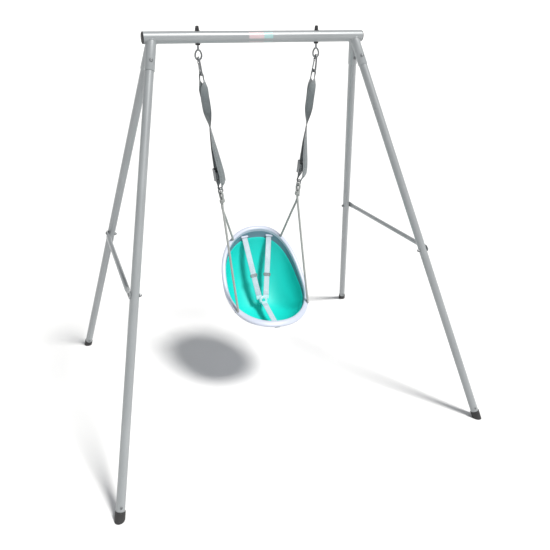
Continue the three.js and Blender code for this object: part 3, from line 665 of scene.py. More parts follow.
def boltShape(size, grip):  # button head at the origin, looking along +Z, nut below
    head, height, key = size["head"], size["headHeight"], size["hex"]
    dome = [(head, 0), (head, height * 0.12), (head * 0.96, height * 0.35), (head * 0.84, height * 0.62),
            (head * 0.66, height * 0.84), (head * 0.5, height * 0.95), (key * 1.12, height)]
    recess = [(key, height - 0.2), (key, height * 0.35), (0, height * 0.25)]
    top = lathe([(0, 0), *dome, *recess], 48)
    hexRecess(top, key, height * 0.3, height - 0.1)
    radius, wide, tall, tail = size["shank"], size["nut"], size["nutHeight"], size["tail"]
    bore, end = radius + 0.1, -grip - tall - tail
    shank = [(0, 0), (radius, 0), (radius, -grip - tall)]
    for thread in range(3):
        start = -grip - tall - thread * tail / 3
        shank += [(radius - 0.35, start - 0.3), (radius, start - 0.7)]
    shank += [(radius - 0.5, end), (0, end)]
    nut = hexNut([(bore, -tall), (wide * 0.86, -tall), (wide * 0.87, -tall + 0.3), (wide, -tall + 0.9),
                  (wide, 0), (bore, 0)], wide, radius + 0.5)
    washer = lathe([(bore, 0.02), (wide * 1.12, 0.02), (wide * 1.16, -0.4), (wide * 1.12, -0.9),
                    (bore, -0.9)],
                   40, True)
    return gather(top, lathe(shank, 32), slid(nut, z=-grip - 0.1), slid(washer, z=-grip + 0.35))


def makeBolt(name, size, centre, direction, grip, above, turn):
    place = toMetres @ aim(centre + direction * above, direction) @ Matrix.Rotation(turn, 4, "Z")
    makePiece(f"{name}_steel", boltShape(size, grip), "steel", name, place=place)


brace = {"radius": 11, "thick": 4, "width": 34, "reach": 17, "stop": 30, "taper": 34}


def power(value, exponent):
    return math.copysign(abs(value) ** exponent, value)


def smoothStep(value, low, high):
    share = max(0.0, min(1.0, (value - low) / (high - low)))
    return share * share * (3 - 2 * share)


def makeBrace(side, line, fixing):  # a tube pressed flat at both ends
    half = abs(fixing.y)
    flatEnd = half - brace["stop"]
    roundFrom = flatEnd - brace["taper"]
    tip = half + brace["reach"]
    stations = [-tip, *(-tip + 3 * k for k in range(1, 6)), -half]
    stations += [-flatEnd + brace["taper"] * k / 12 for k in range(13)]
    stations += [-station for station in reversed(stations)]

    def place(u, v):
        y = pick(stations, v)
        flat = smoothStep(abs(y), roundFrom, flatEnd)
        past = max(0.0, min(1.0, (abs(y) - half) / brace["reach"]))
        narrow = math.sqrt(max(0.06, 1 - 0.94 * past * past))
        x, z = math.cos(2 * math.pi * u), math.sin(2 * math.pi * u)
        thin = brace["thick"] / 2 * power(x, 0.5)
        tall = brace["width"] / 2 * power(z, 0.8) * narrow
        return Vector((brace["radius"] * x * (1 - flat) + thin * flat, y,
                       brace["radius"] * z * (1 - flat) + tall * flat))

    tube = wrappedGrid(48, len(stations) - 1, place)
    out = line.sideways
    centre = Vector((fixing.x, 0, fixing.z)) + out * (leg["radius"] + 0.3 + brace["thick"] / 2)
    turn = Matrix((out, (0, 1, 0), out.cross(Vector((0, 1, 0))))).transposed().to_4x4()
    makePiece(f"brace_tube_{side}", tube, "silver", f"brace_{side}",
              place=toMetres @ Matrix.Translation(centre) @ turn)


def makeFrame():
    makeCrossbar()
    makeLabel()
    for index, corner in enumerate(feet):
        line = LegLine(corner)
        makeSocket(corner, line)
        makeLeg(corner, line)
        makeFootCap(corner, line)
        turn = 0.4 + index * 0.7
        socketAt = line.point(leg["socketBoltAt"])
        makeBolt(f"socket_bolt_{corner}", bolt, socketAt, line.across, 2 * leg["socketRadius"] + 0.6,
                 leg["socketRadius"] + 0.3, turn)
        footAt = line.point(line.length - line.drop(leg["footBoltAbove"]))
        makeBolt(f"foot_bolt_{corner}", smallBolt, footAt, line.across, 2 * leg["radius"] + 0.6,
                 leg["radius"] + 0.3, turn + 1)
        braceAt = line.point(line.drop(bar["height"] - leg["braceHeight"]))
        plate = leg["radius"] + 0.6 + brace["thick"]
        makeBolt(f"brace_bolt_{corner}", bolt, braceAt, line.sideways, plate + leg["radius"] + 0.6,
                 plate + 0.3, turn + 2)
        if corner.startswith("front"):
            makeBrace("left" if corner.endswith("left") else "right", line, braceAt)
    print("A-frame made")


# swing hangers, each in its own frame: swing axis at the origin, hanging along -Z, in millimetres

eye = {"halfWidth": 14, "halfHeight": 20, "wire": 4, "shank": 5, "pitch": 1.2, "nut": 9.2, "bush": 6}
hook = {"wire": 4, "topRadius": 9.6, "halfWidth": 16, "corner": 8, "length": 63}
gate = {"wire": 3.1, "pivotZ": -7, "tipZ": -45, "pin": 1.5, "cheek": 3.9}
ring = {"radius": 15, "wire": 3}
webbing = {"width": 38, "bunched": 14, "atRing": 11, "thick": 2.4, "curl": 5.0, "steps": 460,
           "hookClearance": 0.3, "ringClearance": 4}
buckle = {"z": -511, "turn": 30, "width": 46, "length": 62, "wall": 2.4, "back": 7.5, "front": -9,
          "pin": (-7, 6), "teeth": 40, "ribs": 4}


def hangerPlace(side):
    pivot = Vector(joints[f"swing_{side}"]["pos_m"])
    low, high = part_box(f"ring_{side}")
    down = (low + high) / 2 - pivot
    up = -down.normalized()
    forward = Vector((0, 1, 0))
    turn = Matrix((forward.cross(up), forward, up)).transposed().to_4x4()
    return Matrix.Translation(pivot) @ turn @ toMetres, down.length / millimetre


def arc(centre, height, radius, start, end, count):  # pairs on a bend, from one angle to another
    angles = [math.radians(start + (end - start) * step / count) for step in range(count + 1)]
    return [(centre + radius * math.cos(angle), height + radius * math.sin(angle)) for angle in angles]


def makeEyeBolt(side):
    pivot = Vector(joints[f"swing_{side}"]["pos_m"]) / millimetre
    centre = pivot.z + eye["halfHeight"]
    points = []
    for step in range(32):
        angle = step / 32 * 2 * math.pi
        across = eye["halfWidth"] * math.sin(angle) * (1 - 0.16 * math.cos(angle))
        points.append((pivot.x + across, 0, centre + eye["halfHeight"] * math.cos(angle)))
    neck = centre + eye["halfHeight"]
    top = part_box(f"eye_bolt_{side}")[1].z / millimetre
    barTop = bar["height"] + bar["radius"]
    shank = [(0, neck - 5), (eye["shank"] * 0.8, neck - 4), (eye["shank"], neck - 1), (eye["shank"],
                                                                                       barTop + 8)]
    height = barTop + 8
    while height + eye["pitch"] < top - 0.8:  # threads
        shank += [(eye["shank"] - 0.45, height + eye["pitch"] / 2), (eye["shank"], height + eye["pitch"])]
        height += eye["pitch"]
    shank += [(eye["shank"] - 0.8, top), (0, top)]
    shape = gather(sweep(points, eye["wire"], 96, 24, cyclic=True), slid(lathe(shank, 40), pivot.x))
    makePiece(f"eye_bolt_steel_{side}", shape, "steel", f"eye_bolt_{side}", place=toMetres)

    low, capTop = barTop + 0.3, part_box(f"eye_bolt_nut_{side}")[1].z / millimetre
    bore = eye["shank"] + 0.2
    washer = lathe([(bore, low), (10.4, low), (11, low + 0.5), (10.9, low + 1.5), (10.4, low + 2),
                    (bore, low + 2)], 48, True)
    wide = eye["nut"]
    nut = hexNut([(bore, low + 2.1), (wide - 0.2, low + 2.1), (wide, low + 2.6), (wide, low + 10.6),
                  (wide - 1.1, low + 12), (bore + 0.4, low + 12), (bore, low + 11.6)], wide, bore + 1)
    dome = lathe([(0, top + 0.4), (bore, top + 0.4), (bore, low + 11), (7.6, low + 11), (7.6, capTop - 4.5),
                  (7.2, capTop - 2.8), (6.0, capTop - 1.3), (4.0, capTop - 0.4), (0, capTop)], 48)
    makePiece(f"eye_bolt_cap_nut_{side}", slid(gather(washer, nut, dome), pivot.x), "black",
              f"eye_bolt_nut_{side}", place=toMetres)
    under = bar["height"] - bar["radius"] - 0.3
    foot = under - eye["bush"]
    bush = lathe([(bore, foot), (10.2, foot), (11, foot + 0.8), (11, under - 0.8), (10.4, under),
                  (bore, under)],
                 56, True)
    makePiece(f"eye_bush_black_{side}", slid(bush, pivot.x), "black", f"eye_bush_{side}", place=toMetres)


def makeHook(side, place):
    halfWidth, corner, length, top = hook["halfWidth"], hook["corner"], hook["length"], hook["topRadius"]
    pivotY = top + 0.3
    line = [(halfWidth, gate["tipZ"] - 3), *arc(halfWidth - corner, -length + corner, corner, 0, -90, 6),
            *arc(-halfWidth + corner, -length + corner, corner, -90, -180, 6), (-halfWidth + 1, -38),
            (-halfWidth + 3, -18), *arc(0, 0, top, 172, 10, 10), (pivotY - 0.3, -1.5)]
    body = sweep([(0, y, z) for y, z in line], hook["wire"], 150, 24, roundEnds=True)
    nose = block((-1.2, halfWidth - 3.4, gate["tipZ"] - 6), (1.2, halfWidth + 3.4, gate["tipZ"] + 2.5), 0.8)
    lug = block((-1.8, pivotY - 3.4, gate["pivotZ"] - 2.6), (1.8, pivotY + 3.4, gate["pivotZ"] + 6), 0.8)
    pin = rod((-gate["cheek"] - 0.6, pivotY, gate["pivotZ"]), (gate["cheek"] + 0.6, pivotY, gate["pivotZ"]),
              gate["pin"], 0.5, 24)
    makePiece(f"snap_hook_{side}", gather(body, nose, lug, pin), "steel", f"hook_body_{side}", place=place)

    pivot, tip = Vector((0, pivotY, gate["pivotZ"])), Vector((0, halfWidth, gate["tipZ"]))
    stem = rod(pivot.lerp(tip, 0.2), pivot.lerp(tip, 0.88), gate["wire"], 0.6, 32)
    cheeks = []
    for sign in (-1, 1):
        cheeks.append(rod((sign * 2.2, pivotY, gate["pivotZ"]), (sign * gate["cheek"], pivotY,
                                                                 gate["pivotZ"]), 3.4, 0.4))
        arm = rod(pivot, pivot.lerp(tip, 0.26), 1.6, 0.3, 16)
        cheeks.append(slid(arm, sign * 3.0))
        fork = rod(pivot.lerp(tip, 0.86), tip, 1.25, 0.5, 16)
        cheeks.append(slid(fork, sign * 2.5))
    collar = rod(pivot.lerp(tip, 0.2), pivot.lerp(tip, 0.25), 4.0, 0.5)
    makePiece(f"hook_gate_steel_{side}", gather(stem, collar, *cheeks), "steel", f"hook_gate_{side}",
              place=place)


# how the webbing turns, in degrees, and how wide it is, by height below the hook
turnStops = [(-50, 270), (-70, 268), (-112, 205), (-165, 160), (-215, 148), (-300, 68), (-390, 40),
             (-470, 30), (-640, 30)]
widthStops = [(-50, webbing["bunched"]), (-70, webbing["bunched"]), (-120, webbing["width"]),
              (-545, webbing["width"]), (-574, webbing["atRing"]), (-640, webbing["atRing"])]


def between(stops, height):
    for (high, first), (low, second) in zip(stops, stops[1:]):
        if height >= low:
            share = max(0.0, min(1.0, (high - height) / (high - low)))
            return first + (second - first) * share
    return stops[-1][1]


def strapRoute(ringZ):  # out from the swing's plane and up, in the strap's own turned plane
    bend = hook["wire"] + webbing["hookClearance"] + webbing["thick"] / 2
    ringBend = ring["wire"] + webbing["ringClearance"] + webbing["thick"] / 2
    ringTop = ringZ + ring["radius"]
    return [(0, -506), (-0.6, -470), (-1, -400), (-1.6, -300), (-2.5, -215), (-7, -120), (-bend - 1, -84),
            *arc(0, -hook["length"], bend, 180, 0, 6), (bend + 3, -84), (8, -120), (2.5, -215), (2, -300),
            (5, -370), (13, -430), (22, -480), (27, -520), (25, -552), (14, ringTop + 12),
            *arc(0, ringTop, ringBend, 0, -180, 4), (-4, -566), (-1, -546), (0, -514)]


def makeStrap(side, place, ringZ):
    steps, width, thick = webbing["steps"], webbing["width"], webbing["thick"]
    path, length = smoothPath([(p, 0, z) for p, z in strapRoute(ringZ)], steps)
    along = tangents(path)
    section = bandSection(1, thick, 14)
    seed = 3 if side == "left" else 11

    def spot(u, v):
        k = round(v * steps)
        across, deep = pick(section, u)
        p, z = path[k].x, path[k].z
        out = Vector((-along[k].z, 0, along[k].x))
        gathered = 1 - between(widthStops, z) / width
        fold = 0.5 - 0.5 * math.cos(3 * math.pi * across * 2)
        lift = deep + gathered * webbing["curl"] * fold * min(1, gathered * 3)
        ripple = 0.35 * noise.noise(Vector((across * 1.5, v * 40, seed))) * (1 - gathered)
        p += out.x * (lift + ripple)
        z += out.z * (lift + ripple)
        turn = math.radians(between(turnStops, path[k].z))
        sway = across * between(widthStops, path[k].z)
        sine, cosine = math.sin(turn), math.cos(turn)
        return Vector((p * sine + sway * cosine, sway * sine - p * cosine, z))

    band = wrappedGrid(len(section) - 1, steps, spot,
                       lambda u, v: (pick(section, u)[0] * width, v * length))
    makePiece(f"hanger_webbing_{side}", band, "greyWebbing", f"strap_{side}", place=place, sharp=60)


def makeCamBuckle(side, place):
    halfWidth, halfLength, wall = buckle["width"] / 2, buckle["length"] / 2, buckle["wall"]
    backY, frontY = buckle["back"], buckle["front"]
    place = place @ Matrix.Translation((0, 0, buckle["z"])) @ turned(buckle["turn"], "Z")
    parts = [block((-halfWidth, backY - wall, -halfLength), (halfWidth, backY, halfLength), 1.0, 4)]
    low, high = -halfLength, halfLength - 6
    cheek = [(backY, low), (backY, high + 4), (backY - 6, high + 4), (frontY + 3, high - 6),
             (frontY, high - 12), (frontY, low + 4), (frontY + 3, low)]
    for sign in (-1, 1):
        near, far = sorted((sign * halfWidth, sign * (halfWidth - wall)))
        parts.append(prism(cheek, near, far, 0.7))
    for height in (halfLength - 10, -halfLength + 4):
        parts.append(rod((-halfWidth - 0.4, -5.6, height), (halfWidth + 0.4, -5.6, height), 2.6, 0.6))
    pinY, pinZ = buckle["pin"]
    parts.append(rod((-halfWidth - 1.2, pinY, pinZ), (halfWidth + 1.2, pinY, pinZ), 2.2, 0.6))
    for sign in (-1, 1):  # peened pin ends
        near, far = sign * (halfWidth + 0.1), sign * (halfWidth + 1.2)
        parts.append(rod((near, pinY, pinZ), (far, pinY, pinZ), 3.2, 0.5))
    makePiece(f"cam_buckle_steel_{side}", gather(*parts), "steel", f"cam_buckle_{side}", place=place)

    inner = halfWidth - wall - 0.8
    handle = [(3.4, 2.6), (5.6, 1.2), (7.2, -3), (7.5, -12), (6.9, -20), (7.6, -26.6), (6.0, -27), (4.7, -20),
              (4.7, -6), (3.2, -4.2)]  # forward of the pin and above it
    lever = [prism([(pinY - y, pinZ + z) for y, z in handle], -inner, inner, 0.5)]
    cam = []
    for tooth in range(buckle["teeth"]):
        angle = tooth / buckle["teeth"] * 2 * math.pi
        radius = 4.7 if tooth % 2 else 4.2
        cam.append((pinY + radius * math.cos(angle), pinZ + radius * math.sin(angle)))
    lever.append(prism(cam, -inner + 0.3, inner - 0.3, 0))
    for rib in range(buckle["ribs"]):
        height = pinZ - 9 - rib * 4.2
        foot, top = height - 0.9, height + 0.9
        lever.append(block((-inner + 3, pinY - 8.4, foot), (inner - 3, pinY - 6.4, top), 0.5))
    makePiece(f"cam_lever_grey_{side}", gather(*lever), "grey", f"cam_lever_{side}", place=place)


def makeRing(side, place, ringZ):
    shape = bmesh.new()
    bmesh.ops.create_circle(shape, segments=24, radius=ring["wire"],
                            matrix=Matrix.Translation((ring["radius"], 0, 0)) @ turned(90, "X"))
    bmesh.ops.spin(shape, geom=shape.verts[:] + shape.edges[:], axis=(0, 0, 1), angle=2 * math.pi, steps=72,
                   use_merge=True)
    bmesh.ops.remove_doubles(shape, verts=shape.verts, dist=1e-4)
    bmesh.ops.recalc_face_normals(shape, faces=shape.faces)
    for vert in shape.verts:  # the butt weld where the ring closes
        angle = math.degrees(math.atan2(vert.co.y, vert.co.x)) - 60
        swell = 1 + 0.14 * math.exp(-(angle / 7) ** 2)
        middle = Vector((*(vert.co.xy.normalized() * ring["radius"]), 0))
        vert.co = middle + (vert.co - middle) * swell
    place = place @ Matrix.Translation((0, 0, ringZ)) @ turned(buckle["turn"], "Z") @ turned(90, "X")
    makePiece(f"round_ring_{side}", shape, "steel", f"ring_{side}", place=place)


# seat, in its own frame: +X right, +Y up the slope to the back, +Z out of the bucket, in millimetres

seatCentre = (12, -70, 672)
seatTurn = {"twist": -2.2, "slope": 43.8, "roll": 5.5}
rim = {"halfLength": 284, "halfWidth": 228.3, "egg": 0.08, "dip": 65, "side": 22, "front": 32, "skirt": 8,
       "edge": 2.6}
bowl = {"depth": 217, "wall": 4.5, "shift": -86, "linerWall": 3.5, "linerGap": 0.8, "lastSlope": 89.4,
        "rings": 24}
rope = {"radius": 5.5, "knot": 8.4, "stop": 4.2, "hang": 36}
ropeHoles = {"front": (124.4, 10), "rear": (39.1, 10)}
seatPlace = (toMetres @ Matrix.Translation(seatCentre) @ turned(seatTurn["twist"], "Z")
             @ turned(seatTurn["slope"], "X") @ turned(seatTurn["roll"], "Y"))


def rimEdge(angle):  # outline of the rim: x, y and how far out to the side
    across, along = math.sin(angle), math.cos(angle)
    exponent = 2.15 + 0.35 * smoothStep(along, -0.5, 0.5)
    size = (abs(across) ** exponent + abs(along) ** exponent) ** (-1 / exponent)
    width = rim["halfWidth"] * (1 - rim["egg"] * along * size)
    return width * across * size, rim["halfLength"] * along * size, abs(across * size)


def lipWidth(angle):
    return rim["side"] + (rim["front"] - rim["side"]) * smoothStep(-math.cos(angle), 0.35, 0.95)


def lipPoint(angle, inset, rise):
    x, y, across = rimEdge(angle)
    share = 1 - inset / math.hypot(x, y)
    return Vector((x * share, y * share, rise - rim["dip"] * across * across))


def bowlPoint(angle, slope, outward):  # 0 at the rim and 90 at the deepest place
    x, y, across = rimEdge(angle)
    length = math.hypot(x, y)
    cosine, sine = math.cos(math.radians(slope)), math.sin(math.radians(slope))
    reach = (1 - lipWidth(angle) / length) * cosine ** 1.25 * (1 + outward * cosine / (0.8 * length))
    return Vector((x * reach, y * reach + bowl["shift"] * slope / 90,
                   -rim["dip"] * across * across * cosine - bowl["depth"] * sine - outward * sine))


def ringShape(rings, around=128):  # a closed skin through rings of points given by functions of the angle
    return wrappedGrid(around, len(rings) - 1, lambda u, v: pick(rings, v)(2 * math.pi * u))


def bowlRing(slope, outward):
    return lambda angle: bowlPoint(angle, slope, outward)


def bowlRings(outward, first=4):
    count = bowl["rings"]
    return [bowlRing(first + (bowl["lastSlope"] - first) * (step / count),
                     outward) for step in range(count + 1)]


def lipRing(share, inset, rise):  # in from the edge by a share of the lip's width, or else by millimetres
    return lambda angle: lipPoint(angle, lipWidth(angle) * share if share else inset, rise)


# share of the lip's width, inset and rise of each ring over the lip
lipSteps = [(1.0, 0, -3.2), (0.97, 0, 0.4), (0.90, 0, 2.2), (0.80, 0, 3.5), (0.65, 0, 4.4), (0.5, 0, 4.6),
            (0.35, 0, 4.3), (0.2, 0, 3.6), (0, 2.4, 2.9), (0, 1.1, 1.8), (0, 0.3, 0.4), (0, 0, -1.4),
            (0, 0, -rim["skirt"] + 0.8), (0, 0.5, -rim["skirt"]), (0, rim["edge"] - 0.5, -rim["skirt"]),
            (0, rim["edge"], -rim["skirt"] + 0.8), (0, rim["edge"] + 0.1, -3), (0, rim["edge"] + 1.4, -1.9)]


def bored(piece, cutters):  # cuts closed shapes out of a finished piece
    for index, cutter in enumerate(cutters):
        mesh = bpy.data.meshes.new("cutter")
        cutter.to_mesh(mesh)
        cutter.free()
        tool = addObject("cutter", mesh)
        step = piece.modifiers.new(f"cut{index}", "BOOLEAN")
        step.operation, step.solver, step.object = "DIFFERENCE", "EXACT", tool
    bpy.context.view_layer.update()
    result = bpy.data.meshes.new_from_object(piece.evaluated_get(bpy.context.evaluated_depsgraph_get()))
    tools = [step.object for step in piece.modifiers]
    piece.modifiers.clear()
    for tool in tools:
        bpy.data.objects.remove(tool)
    piece.data = result
    result.shade_smooth()
    result.set_sharp_from_angle(angle=math.radians(35))


harnessStrap = {"width": 30, "thick": 2.2, "slotWidth": 44, "slotHeight": 6, "steps": 90, "fold": 7,
                "foldLayers": ((7, 0.6), (3.5, 0.0), (0.0, -0.4)), "sewn": 22}
stitch = {"half": 11, "from": 4, "to": 19, "pitch": 2.6, "radius": 0.34, "lift": 2.45}
shoulder = {"from": (21, -56, -148), "to": (70, 238, -40), "wall": 332}
crotch = {"from": (0, -109, -142), "to": (0, -211, -85), "wall": 176}
harnessDrift = 6
puck = {"centre": Vector((0, -83, -154)), "radius": 23, "thick": 14, "slope": 20}
button = {"radius": 9, "depth": 7, "travel": 3, "proud": 2}
adjuster = {"at": 101, "width": 39, "length": 16, "thick": 7}


def strapFrame(run, sign, drift=0):  # +Y along the strap from the buckle, +Z up off the seat
    start = Vector((sign * run["from"][0], *run["from"][1:]))
    along = (Vector((sign * run["to"][0] + drift, *run["to"][1:])) - start).normalized()
    across = Vector((1, 0, 0))
    across = (across - along * across.dot(along)).normalized()
    return Matrix.Translation(start) @ Matrix((across, along, across.cross(along))).transposed().to_4x4()


def seatCutters():
    cutters = []
    for _, sign in sides:
        for angle, inset in ropeHoles.values():
            turn = sign * math.radians(angle)
            cutters.append(rod(lipPoint(turn, inset, -14), lipPoint(turn, inset, 14), rope["radius"] + 1.0,
                               0.1, 40))
    for run, sign in ((shoulder, -1), (shoulder, 1), (crotch, 1)):
        half = harnessStrap["slotWidth"] / 2
        tall = harnessStrap["slotHeight"] / 2
        slot = block((-half, run["wall"] - 40, -tall), (half, run["wall"] + 40, tall), 2.4, 4)
        cutters.append(moved(slot, strapFrame(run, sign)))
    for cutter in cutters:
        moved(cutter, seatPlace)
    return cutters


def makeShell():
    under = lambda angle: lipPoint(angle, lipWidth(angle) - bowl["wall"] - 2.5, -1.9)
    low = Vector((0, bowl["shift"], -bowl["depth"]))
    rings = [lambda angle: low, *reversed(bowlRings(0)), *(lipRing(*step) for step in lipSteps), under,
             *bowlRings(bowl["wall"]), lambda angle: low - Vector((0, 0, bowl["wall"]))]
    shell = makePiece("bucket_shell", ringShape(rings), "white", "seat_shell", place=seatPlace)
    bored(shell, seatCutters())


linerTop = {"middle": 8.6, "swing": 4.4}  # slope of the liner's edge, more at the back than at the front


def linerRing(outward, share):  # share runs from the liner's edge to its deepest place
    def point(angle):
        top = linerTop["middle"] + linerTop["swing"] * math.cos(angle)
        return bowlPoint(angle, top + (bowl["lastSlope"] - top) * share, outward)
    return point


def makeLiner():
    gap, wall, count = bowl["linerGap"], bowl["linerWall"], bowl["rings"]
    outside = [linerRing(-gap, step / count) for step in range(count + 1)]
    inside = [linerRing(-gap - wall, step / count) for step in range(count + 1)]
    lip = [linerRing(-gap - wall * 0.8, -0.005), linerRing(-gap - wall * 0.3, -0.005)]
    low = Vector((0, bowl["shift"], gap - bowl["depth"]))
    rings = [lambda angle: low + Vector((0, 0, wall)), *reversed(inside), *lip, *outside, lambda angle: low]
    liner = makePiece("bucket_liner", ringShape(rings), "teal", "seat_liner", place=seatPlace)
    bored(liner, seatCutters()[4:])


wallBand = {"slopes": [3.2, 5, 8, 11, 14, 17], "face": -0.5, "back": 0.4}


def makeShadeBand():  # painted shade: a dark grey-blue sheet over the strip of the shell's pale wall above the liner
    slopes = wallBand["slopes"]
    rings = [bowlRing(slope, wallBand["face"]) for slope in slopes]
    rings += [bowlRing(slope, wallBand["back"]) for slope in reversed(slopes)]
    makePiece("bucket_band_painted_shade", ringShape([*rings, rings[0]]), "band", "seat_shell", place=seatPlace, adds=True)


slotRim = {"out": 17, "length": 10, "width": 41, "tall": 13, "bar": 3.6}


def makeSlotRims():  # white mouths of the shoulder straps' slots
    half, tall, bar = slotRim["width"] / 2, slotRim["tall"] / 2, slotRim["bar"]
    start = shoulder["wall"] - slotRim["out"]
    end = start + slotRim["length"]
    for side, sign in sides:
        parts = []
        for level in (-1, 1):
            low, high = sorted((level * tall, level * (tall - bar)))
            parts.append(block((-half, start, low), (half, end, high), 1.2, 4))
            left, right = sorted((level * half, level * (half - bar)))
            parts.append(block((left, start, -tall), (right, end, tall), 1.2, 4))
        makePiece(f"slot_rim_{side}", gather(*parts), "white", "seat_shell",
                  place=seatPlace @ strapFrame(shoulder, sign, harnessDrift), adds=True)


def makeHarnessStrap(name, node, run, frameOfStrap):
    end = run["wall"] + 2
    section = bandSection(harnessStrap["width"], harnessStrap["thick"], 12)

    def spot(u, v):
        x, z = pick(section, u)
        y = v * end
        ripple = 0.5 * noise.noise(Vector((x * 0.04, y * 0.03, run["wall"]))) * math.sin(math.pi * v)
        cup = 0.5 * math.cos(math.pi * x / harnessStrap["width"]) * math.sin(math.pi * v)
        return Vector((x, y, z + ripple + cup))

    band = wrappedGrid(len(section) - 1, harnessStrap["steps"], spot, lambda u, v: (pick(section, u)[0],
                                                                                    v * end))
    half, last = harnessStrap["width"] / 2, end + harnessStrap["fold"]
    fold = []
    for rise, inset in harnessStrap["foldLayers"]:  # the end folded over on itself as a stop
        fold.append(block((-half, end + inset, rise - 4.8), (half, last + inset, rise - 2.4), 1.1))
    loop = block((-half - 0.4, 0.4, -2.3), (half + 0.4, harnessStrap["sewn"], 2.3),
                 1.1)  # sewn back at the buckle
    makePiece(name, gather(band, loop, *fold), "paleWebbing", node, place=seatPlace @ frameOfStrap, sharp=60)


def makeStitches(name, node, frameOfStrap):  # a sewn box with a cross, just proud of the webbing
    half, low, high, lift = stitch["half"], stitch["from"], stitch["to"], stitch["lift"]
    corners = [(-half, low), (half, low), (half, high), (-half, high)]
    runs = [(corners[k], corners[(k + 1) % 4]) for k in range(4)] + [(corners[0], corners[2]),
                                                                     (corners[1], corners[3])]
    stitches = []
    for (startX, startY), (endX, endY) in runs:
        length = math.hypot(endX - startX, endY - startY)
        count = int(length // stitch["pitch"])
        for k in range(count):
            first, second = (k + 0.12) / count, (k + 0.82) / count
            start = (startX + (endX - startX) * first, startY + (endY - startY) * first, lift)
            end = (startX + (endX - startX) * second, startY + (endY - startY) * second, lift)
            stitches.append(rod(start, end, stitch["radius"], 0.12, 6))
    makePiece(name, gather(*stitches), "white", node, place=seatPlace @ frameOfStrap, adds=True)


def makeAdjuster(side, frameOfStrap):  # a slide with three bars that the strap threads through
    low, length, wide, tall = adjuster["at"], adjuster["length"], adjuster["width"], adjuster["thick"]
    parts = []
    for sign in (-1, 1):
        near, far = sorted((sign * wide / 2, sign * (wide / 2 - 3)))
        parts.append(block((near, low, -tall / 2), (far, low + length, tall / 2), 1.2, 4))
    end, thin = length - 3.6, 0.8
    for start, size, level in ((0, 3.6, 1), (end, 3.6, 1), (0, 3.6, -1), (end, 3.6, -1), (length / 2 - 1.9,
                                                                                          3.8, 1)):
        z = level * (tall / 2 - thin)
        parts.append(block((-wide / 2 + 1, low + start, z - thin), (wide / 2 - 1, low + start + size,
                                                                    z + thin)))
    makePiece(f"adjuster_slide_{side}", gather(*parts), "grey", f"strap_adjuster_{side}",
              place=seatPlace @ frameOfStrap)


def makeHarnessBuckle(frames):
    half, radius = puck["thick"] / 2, puck["radius"]
    well = button["radius"] + 0.3
    profile = [(0, -half), (radius - 4, -half), (radius - 1.2, -half + 1.2), (radius, -half + 3.5),
               (radius, half - 4.4), (radius - 0.8, half - 2.2), (radius - 2.6, half - 0.7), (radius - 5.4,
                                                                                              half - 0.05),
               (radius - 6, half - 0.5), (radius - 6.8, half - 0.5), (radius - 7.4, half), (well + 1.2, half),
               (well + 0.3, half - 0.3), (well, half - 1), (well, half - button["depth"]),
               (0, half - button["depth"])]
    tilt = Matrix.Translation(puck["centre"]) @ turned(puck["slope"], "X")
    lugs = [moved(block((-16, -20, -3), (16, -0.3, 3), 1.4, 4), place) for place in frames]
    body = gather(moved(lathe(profile, 72), tilt), *lugs)
    makePiece("harness_buckle_body", body, "buckle", "harness_buckle", place=seatPlace)
    low, top = half - button["depth"] + button["travel"] + 0.6, half + button["proud"]
    size = button["radius"]
    press = lathe([(0, low), (size - 0.4, low), (size, low + 0.4), (size, top - 1.4), (size - 0.5, top - 0.4),
                   (size - 1.5, top), (size - 2.6, top - 0.1), (size - 3.1, top - 0.7), (0, top - 1.2)], 56)
    makePiece("harness_button_press", moved(press, tilt), "teal", "harness_button", place=seatPlace)


def makeHarness():
    middle = strapFrame(crotch, 1)
    frames = [strapFrame(shoulder, sign, harnessDrift) for _, sign in sides]
    for (side, _), place in zip(sides, frames):
        makeHarnessStrap(f"shoulder_webbing_{side}", f"shoulder_strap_{side}", shoulder, place)
        makeStitches(f"shoulder_stitching_{side}", f"shoulder_strap_{side}", place)
        makeAdjuster(side, place)
    makeHarnessStrap("crotch_webbing", "crotch_strap", crotch, middle)
    makeStitches("crotch_stitching", "crotch_strap", middle)
    makeHarnessBuckle([*frames, middle])


def coil(centre, axis, radius, rise, turns, count=26, start=0.0):  # points of a winding round an axis
    axis = axis.normalized()
    side = axis.orthogonal().normalized()
    other = axis.cross(side)
    points = []
    for step in range(count + 1):
        share = step / count
        angle = start + 2 * math.pi * turns * share
        tuck = 1 - 0.55 * (smoothStep(share, 0.9, 1) + smoothStep(1 - share, 0.9, 1))
        out = side * math.cos(angle) + other * math.sin(angle)
        points.append(centre + axis * (rise * (share - 0.5)) + out * radius * tuck)
    return points


